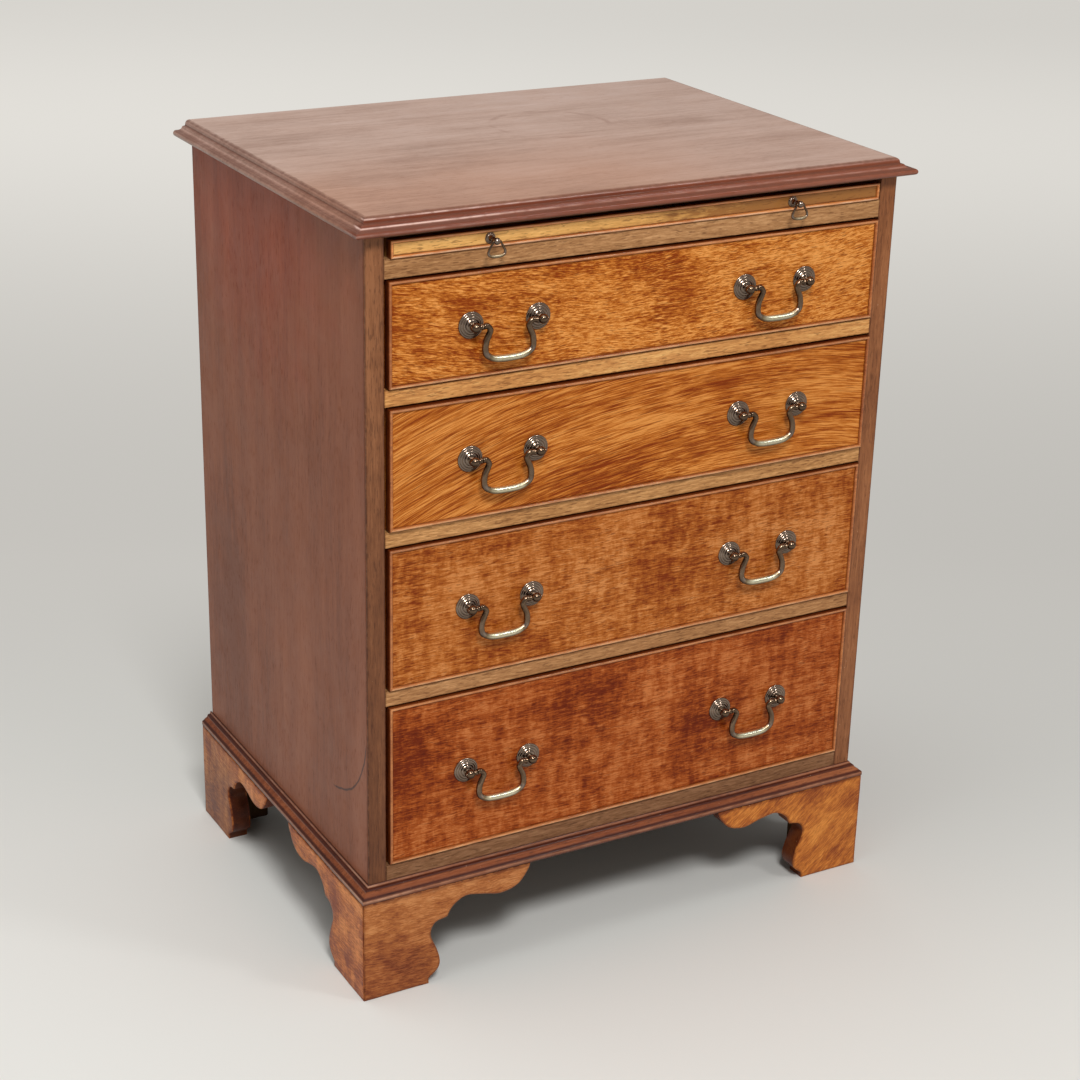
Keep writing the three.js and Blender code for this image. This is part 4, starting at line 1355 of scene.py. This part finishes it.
# What each drawer's face has of its own
FRONT_LOOKS = {
    1: dict(warp_scale=6.0, cloud=0.6, gold=0.4, rings=(0.02, 0.0, 2.2), fleck_scales=(62.0, 900.0),
            layers=((0.40, 5.0, 48.0), (0.3, 24.0, 130.0), (0.35, 50.0, 170.0), (0.7, 30.0, 500.0),
                    (1.3, 90.0, 1000.0))),
    2: dict(warp=0.03, warp_scale=5.0, cloud=0.5, cloud_scale=8.0, gold=0.4, rings=(0.11, 0.0, -0.33),
            fleck_scales=(62.0, 900.0),
            layers=((0.45, 5.0, 34.0), (0.25, 22.0, 130.0), (0.35, 44.0, 160.0), (0.7, 28.0, 480.0),
                    (1.3, 90.0, 1000.0))),
    3: dict(cloud=0.6, gold=0.45,
            layers=((0.40, 6.0, 50.0), (0.50, 84.0, 22.0), (0.4, 90.0, 60.0), (0.65, 36.0, 440.0),
                    (0.8, 120.0, 900.0))),
    4: dict(cloud=0.7, gold=0.5, deep=(0.42, 0.24, 0.18), pale=(1.55, 2.4, 5.5),
            layers=((0.45, 6.0, 50.0), (0.55, 76.0, 20.0), (0.4, 90.0, 60.0), (0.6, 36.0, 440.0),
                    (0.75, 120.0, 900.0))),
}


def front_finish(number):
    settings = dict(deep=FRONT_DEEP, pale=FRONT_PALE, warp=0.014, cloud_scale=9.0, flecks=0.6, rough=0.34,
                    gloss=0.10, coat=0.03, crisp=True, dirt=0.45, dirt_width=1.4 * MM, wear=0.0, specks=0.12,
                    fleck_scales=(105.0, 980.0), places=front_places(number))
    settings.update(FRONT_LOOKS[number])
    return timber(f"mahogany_front_{number}", getattr(colours(), f"front_{number}"), **settings)


class CHEST_OT_drawers(bpy.types.Operator):
    """Makes the four drawers: fronts, cockbeads and boxes"""
    bl_idname = "chest.drawers"
    bl_label = "Drawers"

    def execute(self, context):
        # The beads get painted shade on their sides and a painted highlight on their nose
        bead = timber("mahogany_bead", colours().bead, **BEAD_LOOK, specks=0.3, edge=(0.30, 0.18, 0.12),
                      painted_glint=tone(244, 188, 136))
        oak = dict(**BROWN, flecks=0.6, fleck_scales=(40.0, 900.0), rough=0.62, gloss=0.25, coat=0.0,
                   dirt=0.4)
        lining = timber("oak_lining", colours().lining, "y", **oak)
        cross = timber("oak_lining_cross", colours().lining, **oak)
        for number in DRAWERS:
            name = f"drawer_{number}"
            across, deep, upright = spans(f"{name}_front")
            form = front_form(across, upright, deep[0], deep[1], DRAWER_BEAD)
            add_piece(f"{name}_face", form, name, front_finish(number), "mahogany_front", f"{name}_front")
            bead_strips(f"{name}_bead", across, upright, deep[0], DRAWER_BEAD, sizes().bead_nose, name, bead,
                        f"{name}_cockbead")
            self.make_box(name, lining, cross)
        return {"FINISHED"}

    def make_box(self, name, lining, cross):
        node = f"{name}_box"
        (left, right), (front, back), (low, high) = spans(node)
        thick = 9 * MM
        seam = 0.15 * MM
        floor = low + 8 * MM
        inner = (left + thick + seam, right - thick - seam)
        ranges = {
            "side_left": ([(left, left + thick), (front, back), (low, high)], lining),
            "side_right": ([(right - thick, right), (front, back), (low, high)], lining),
            "back": ([inner, (back - thick, back - seam), (floor + 7 * MM, high - 4 * MM)], cross),
            "bottom": ([inner, (front + seam, back - seam), (floor, floor + 6.8 * MM)], cross),
        }
        for part, (box, finish) in ranges.items():
            form = uneven(board(box, 1.0 * MM), 0.12 * MM, 30.0)
            add_piece(f"{name}_{part}", form, name, finish, "drawer_lining", node)


class CHEST_OT_slide(bpy.types.Operator):
    """Makes the brushing slide with its beaded front"""
    bl_idname = "chest.slide"
    bl_label = "Brushing slide"

    def execute(self, context):
        across, deep, upright = spans("slide_board")
        lip = deep[0] + 24 * MM
        smooth = dict(deep=BROWN_DEEP, pale=(1.3, 1.45, 1.7), gloss=0.3, coat=0.12)
        places = [((-0.20, CASE_FRONT, 0.768), (0.22, 0.03, 0.03), 0.2),
                  ((0.20, CASE_FRONT, 0.768), (0.24, 0.03, 0.03), -0.8)]
        middle = colours().slide
        gold = timber("mahogany_slide_front", middle, dirt=0.8, dirt_width=1.2 * MM, wear=0.1, flecks=0.6,
                      layers=((0.6, 5.0, 70.0), (0.7, 16.0, 300.0), (1.0, 80.0, 700.0)), places=places,
                      **smooth)
        # The slide's beads get painted shade on their sides and a painted highlight on their nose
        bead = timber("mahogany_slide_bead", scaled(colours().bead, (1.5, 1.7, 1.8)), **BEAD_LOOK,
                      edge=(0.22, 0.14, 0.10), painted_glint=tone(244, 204, 166))
        plain = timber("mahogany_slide_board", middle, dirt=0.3, **smooth)
        ends = timber("mahogany_slide_cleat", middle, "y", dirt=0.3, **smooth)
        form = front_form(across, upright, deep[0], lip, SLIDE_BEAD)
        add_piece("slide_lipping", form, "brushing_slide", gold, "mahogany_slide", "slide_board")
        bead_strips("slide_edge", across, upright, deep[0], SLIDE_BEAD, 1.4 * MM, "brushing_slide", bead,
                    "slide_bead")
        cleat = 46 * MM
        seam = 0.2 * MM
        boards = {
            "panel": ((across[0] + cleat + seam, across[1] - cleat - seam), plain),
            "cleat_left": ((across[0], across[0] + cleat), ends),
            "cleat_right": ((across[1] - cleat, across[1]), ends),
        }
        for part, (reach, finish) in boards.items():
            form = board([reach, (lip + seam, deep[1]), upright], 0.5 * MM)
            add_piece(f"slide_{part}", form, "brushing_slide", finish, "mahogany_slide", "slide_board")
        return {"FINISHED"}


# Handles


ROSETTE = [(12.9, 0.30, 0.1), (13.0, 0.75, 0.2), (12.75, 1.25, 0.3), (12.2, 1.55, 0.3), (11.5, 1.6, 0.2),
           (11.1, 1.62, 0.12), (10.9, 1.95, 0.25), (10.4, 2.3, 0.33), (9.6, 2.42, 0.27), (8.9, 2.35, 0.12),
           (8.6, 2.5, 0.18), (8.35, 2.95, 0.33), (7.7, 3.25, 0.32), (6.9, 3.3, 0.24), (6.3, 3.2, 0.12),
           (6.05, 3.4, 0.18), (5.7, 3.85, 0.34), (5.0, 4.15, 0.34), (4.2, 4.3, 0.22), (3.5, 4.55, 0.08),
           (3.0, 4.9, 0.0), (3.0, 5.3, 0.0), (3.35, 5.6, 0.2), (3.45, 5.95, 0.25), (3.2, 6.3, 0.1),
           (3.05, 6.6, 0.0)]
BALL_REACH = 10.4
BALL_RADIUS = 4.8


def ball(radius, reach, neck, steps):
    """A ball's outline from its neck to its tip as (radius, reach, share of the way)"""
    first = math.degrees(math.asin(neck / radius))
    points = []
    for step in range(steps + 1):
        turn = math.radians(first + (180 - first) * step / steps)
        points.append((radius * math.sin(turn), reach - radius * math.cos(turn), step / steps))
    return points


def post_profile():
    """Nut, shank, ringed rosette, neck, collar and ball as (radius, reach, rub) in millimetres"""
    back = -20.3
    nut = [(0.0, back - 4.5, 0.2), (4.2, back - 4.5, 0.2), (4.9, back - 3.9, 0.3), (5.0, back - 2.2, 0.2),
           (4.9, back - 0.4, 0.2), (4.2, back, 0.1), (2.2, back, 0.0), (2.2, 0.3, 0.0)]
    tip = [(radius, reach, 0.02 + 0.06 * share)
           for radius, reach, share in ball(BALL_RADIUS, BALL_REACH, 3.05, 12)]
    return nut + ROSETTE + tip


def middle_of(node):
    """The middle of a CAD node, across and up"""
    low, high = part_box(node)
    return (low.x + high.x) / 2, (low.z + high.z) / 2


def turned_form(node, profile, steps, face):
    """A turned form that stands out from a face round a CAD node's middle"""
    x, z = middle_of(node)
    return lathe(profile, steps, lambda across, up, reach: (x + across, face - reach, z + up))


def both_halves(half):
    """A smooth route through half of a handle and the same half mirrored"""
    return curve_through(half + [Vector((-point.x, 0.0, point.z)) for point in reversed(half[:-1])], 6)


PIVOT_HALF = 35.0
BAIL_NECK = 20.2
BAIL_DROP = 32.6
BAIL_SHARES = [(1.17, -0.022), (1.055, 0.035), (0.99, 0.13), (1.08, 0.27), (1.2, 0.44), (1.24, 0.66),
               (1.17, 0.82), (0.94, 0.925), (0.6, 0.985), (0.0, 1.0)]


def bail_route():
    """Right half then left half of the swan-neck handle, in metres from the middle of its pivots"""
    right = [(40.4, 0.0), (37.5, 0.0), (PIVOT_HALF, 0.0), (32.0, 0.0), (29.0, 0.1), (26.3, 0.5)]
    right += [(across * BAIL_NECK, -down * BAIL_DROP) for across, down in BAIL_SHARES]
    return both_halves([Vector((across * MM, 0.0, up * MM)) for across, up in right])


def bail_radii(route):
    """Thin pins, a small bead by each post, and a swelling grip, with how far each place is rubbed"""
    radii, rubs_and_highlights = [], []
    lowest = min(point.z for point in route)
    for point in route:
        across = abs(point.x) / MM
        depth = point.z / lowest
        radius = 2.0
        if depth > 0.05 or across < 27.0:
            radius = 2.85 + 0.3 * min(1.0, depth * 1.6)
            grip = max(0.0, 1.0 - (across / 19.0) ** 2) if depth > 0.8 else 0.0
            radius += 0.35 * grip
        radius += 0.95 * math.exp(-((across - 28.4) / 1.05) ** 2)
        radii.append(radius * MM)
        rubs_and_highlights.append(0.08 + 0.06 * min(1.0, depth * 2) + 0.82 * clamp((depth - 0.7) / 0.3) ** 1.5)
    for end in (0, -1):
        radii[end] *= 0.62
    return radii, rubs_and_highlights


class CHEST_OT_handles(bpy.types.Operator):
    """Makes the eight swan-neck handles with their rosettes and posts"""
    bl_idname = "chest.handles"
    bl_label = "Drawer handles"

    def execute(self, context):
        finish = brass("patinated_brass")
        profile = post_profile()
        route = bail_route()
        radii, rubs_and_highlights = bail_radii(route)
        for number in DRAWERS:
            drawer = f"drawer_{number}"
            face = span(f"{drawer}_front", 1)[0]
            for hand in HANDS:
                name = f"{drawer}_{hand}"
                for place in ("outer", "inner"):
                    post = f"{name}_post_{place}"
                    form = turned_form(post, profile, 36, face)
                    add_piece(f"{name}_rosette_{place}", form, drawer, finish, "patinated_brass", post)
                pivot = Vector((middle_of(f"{name}_bail")[0], face - BALL_REACH * MM, middle_of(post)[1]))
                form = tube([pivot + point for point in route], radii, 14, rubs_and_highlights)
                add_piece(f"{name}_swan_neck", form, f"{name}_handle", finish, "patinated_brass",
                          f"{name}_bail")
        return {"FINISHED"}


PULL_PROFILE = [(0.0, -11.0, 0.1), (1.5, -11.0, 0.1), (1.5, 0.3, 0.0), (5.2, 0.3, 0.2), (5.3, 0.6, 0.4),
                (5.1, 0.95, 0.5), (4.6, 1.1, 0.3), (4.2, 1.12, 0.1), (4.0, 1.4, 0.4), (3.5, 1.7, 0.5),
                (2.7, 1.9, 0.3), (2.1, 2.9, 0.1), (1.75, 4.2, 0.1), (1.75, 5.6, 0.1), (2.3, 6.4, 0.3),
                (2.7, 7.0, 0.4), (2.3, 7.7, 0.2), (1.8, 8.4, 0.1), (1.9, 9.6, 0.1), (2.1, 10.4, 0.2)]
PULL_REACH = 13.4
PULL_BALL = 3.4
RING_HALF = 8.6
RING_DROP = 14.0
RING_SHARES = [(0.46, 0.05), (0.64, 0.25), (0.90, 0.52), (1.0, 0.72), (0.86, 0.9), (0.45, 0.985), (0.0, 1.0)]


class CHEST_OT_slide_pulls(bpy.types.Operator):
    """Makes the slide's two small pulls and their drops"""
    bl_idname = "chest.slide_pulls"
    bl_label = "Slide pulls"

    def execute(self, context):
        finish = brass("patinated_brass_small")
        tip = [(radius, reach, 0.2 + 0.2 * share)
               for radius, reach, share in ball(PULL_BALL, PULL_REACH, 2.1, 10)]
        profile = PULL_PROFILE + tip[1:]
        half = [Vector((1.0, 0.0, 0.0)), Vector((PULL_BALL, 0.0, 0.0))]
        half += [Vector((across * RING_HALF, 0.0, -down * RING_DROP)) for across, down in RING_SHARES]
        ring = both_halves(half)
        face = span("slide_board", 1)[0]
        for hand in HANDS:
            node = f"slide_pull_{hand}"
            add_piece(f"slide_knob_{hand}", turned_form(node, profile, 28, face), "brushing_slide", finish,
                      "patinated_brass", node)
            x, z = middle_of(node)
            pivot = Vector((x, face - PULL_REACH * MM, z))
            route = [pivot + point * MM for point in ring]
            drops = [max(0.0, (pivot.z - point.z) / (RING_DROP * MM)) for point in route]
            radii = [1.05 * MM + 0.45 * MM * drop ** 2 for drop in drops]
            rubs_and_highlights = [0.06 + 0.65 * drop ** 3 for drop in drops]
            add_piece(f"slide_drop_{hand}", tube(route, radii, 12, rubs_and_highlights), f"slide_{hand}_drop", finish,
                      "patinated_brass", f"slide_ring_{hand}")
        return {"FINISHED"}


# Panel and running


STEPS = (CHEST_OT_stage, CHEST_OT_top, CHEST_OT_case, CHEST_OT_dividers, CHEST_OT_base_moulding,
         CHEST_OT_feet, CHEST_OT_drawers, CHEST_OT_slide, CHEST_OT_handles, CHEST_OT_slide_pulls)


class CHEST_PT_panel(bpy.types.Panel):
    """Lists the steps that build the chest"""
    bl_idname = "CHEST_PT_panel"
    bl_label = "Bachelor's chest"
    bl_space_type = "VIEW_3D"
    bl_region_type = "UI"
    bl_category = "Chest"

    def draw(self, context):
        for step in STEPS:
            self.layout.operator(step.bl_idname)
        for group in (context.scene.chest_sizes, context.scene.chest_colours):
            box = self.layout.box()
            for name in group.bl_rna.properties.keys():
                if name not in ("rna_type", "name"):
                    box.prop(group, name)


CLASSES = (ChestSizes, ChestColours, *STEPS, CHEST_PT_panel)


def register():
    for each in CLASSES:
        bpy.utils.register_class(each)
    bpy.types.Scene.chest_sizes = PointerProperty(type=ChestSizes)
    bpy.types.Scene.chest_colours = PointerProperty(type=ChestColours)


def unregister():
    del bpy.types.Scene.chest_colours
    del bpy.types.Scene.chest_sizes
    for each in reversed(CLASSES):
        bpy.utils.unregister_class(each)


def main():
    register()
    for step in STEPS:
        group, name = step.bl_idname.split(".")
        getattr(getattr(bpy.ops, group), name)()


if __name__ == "__main__":
    main()
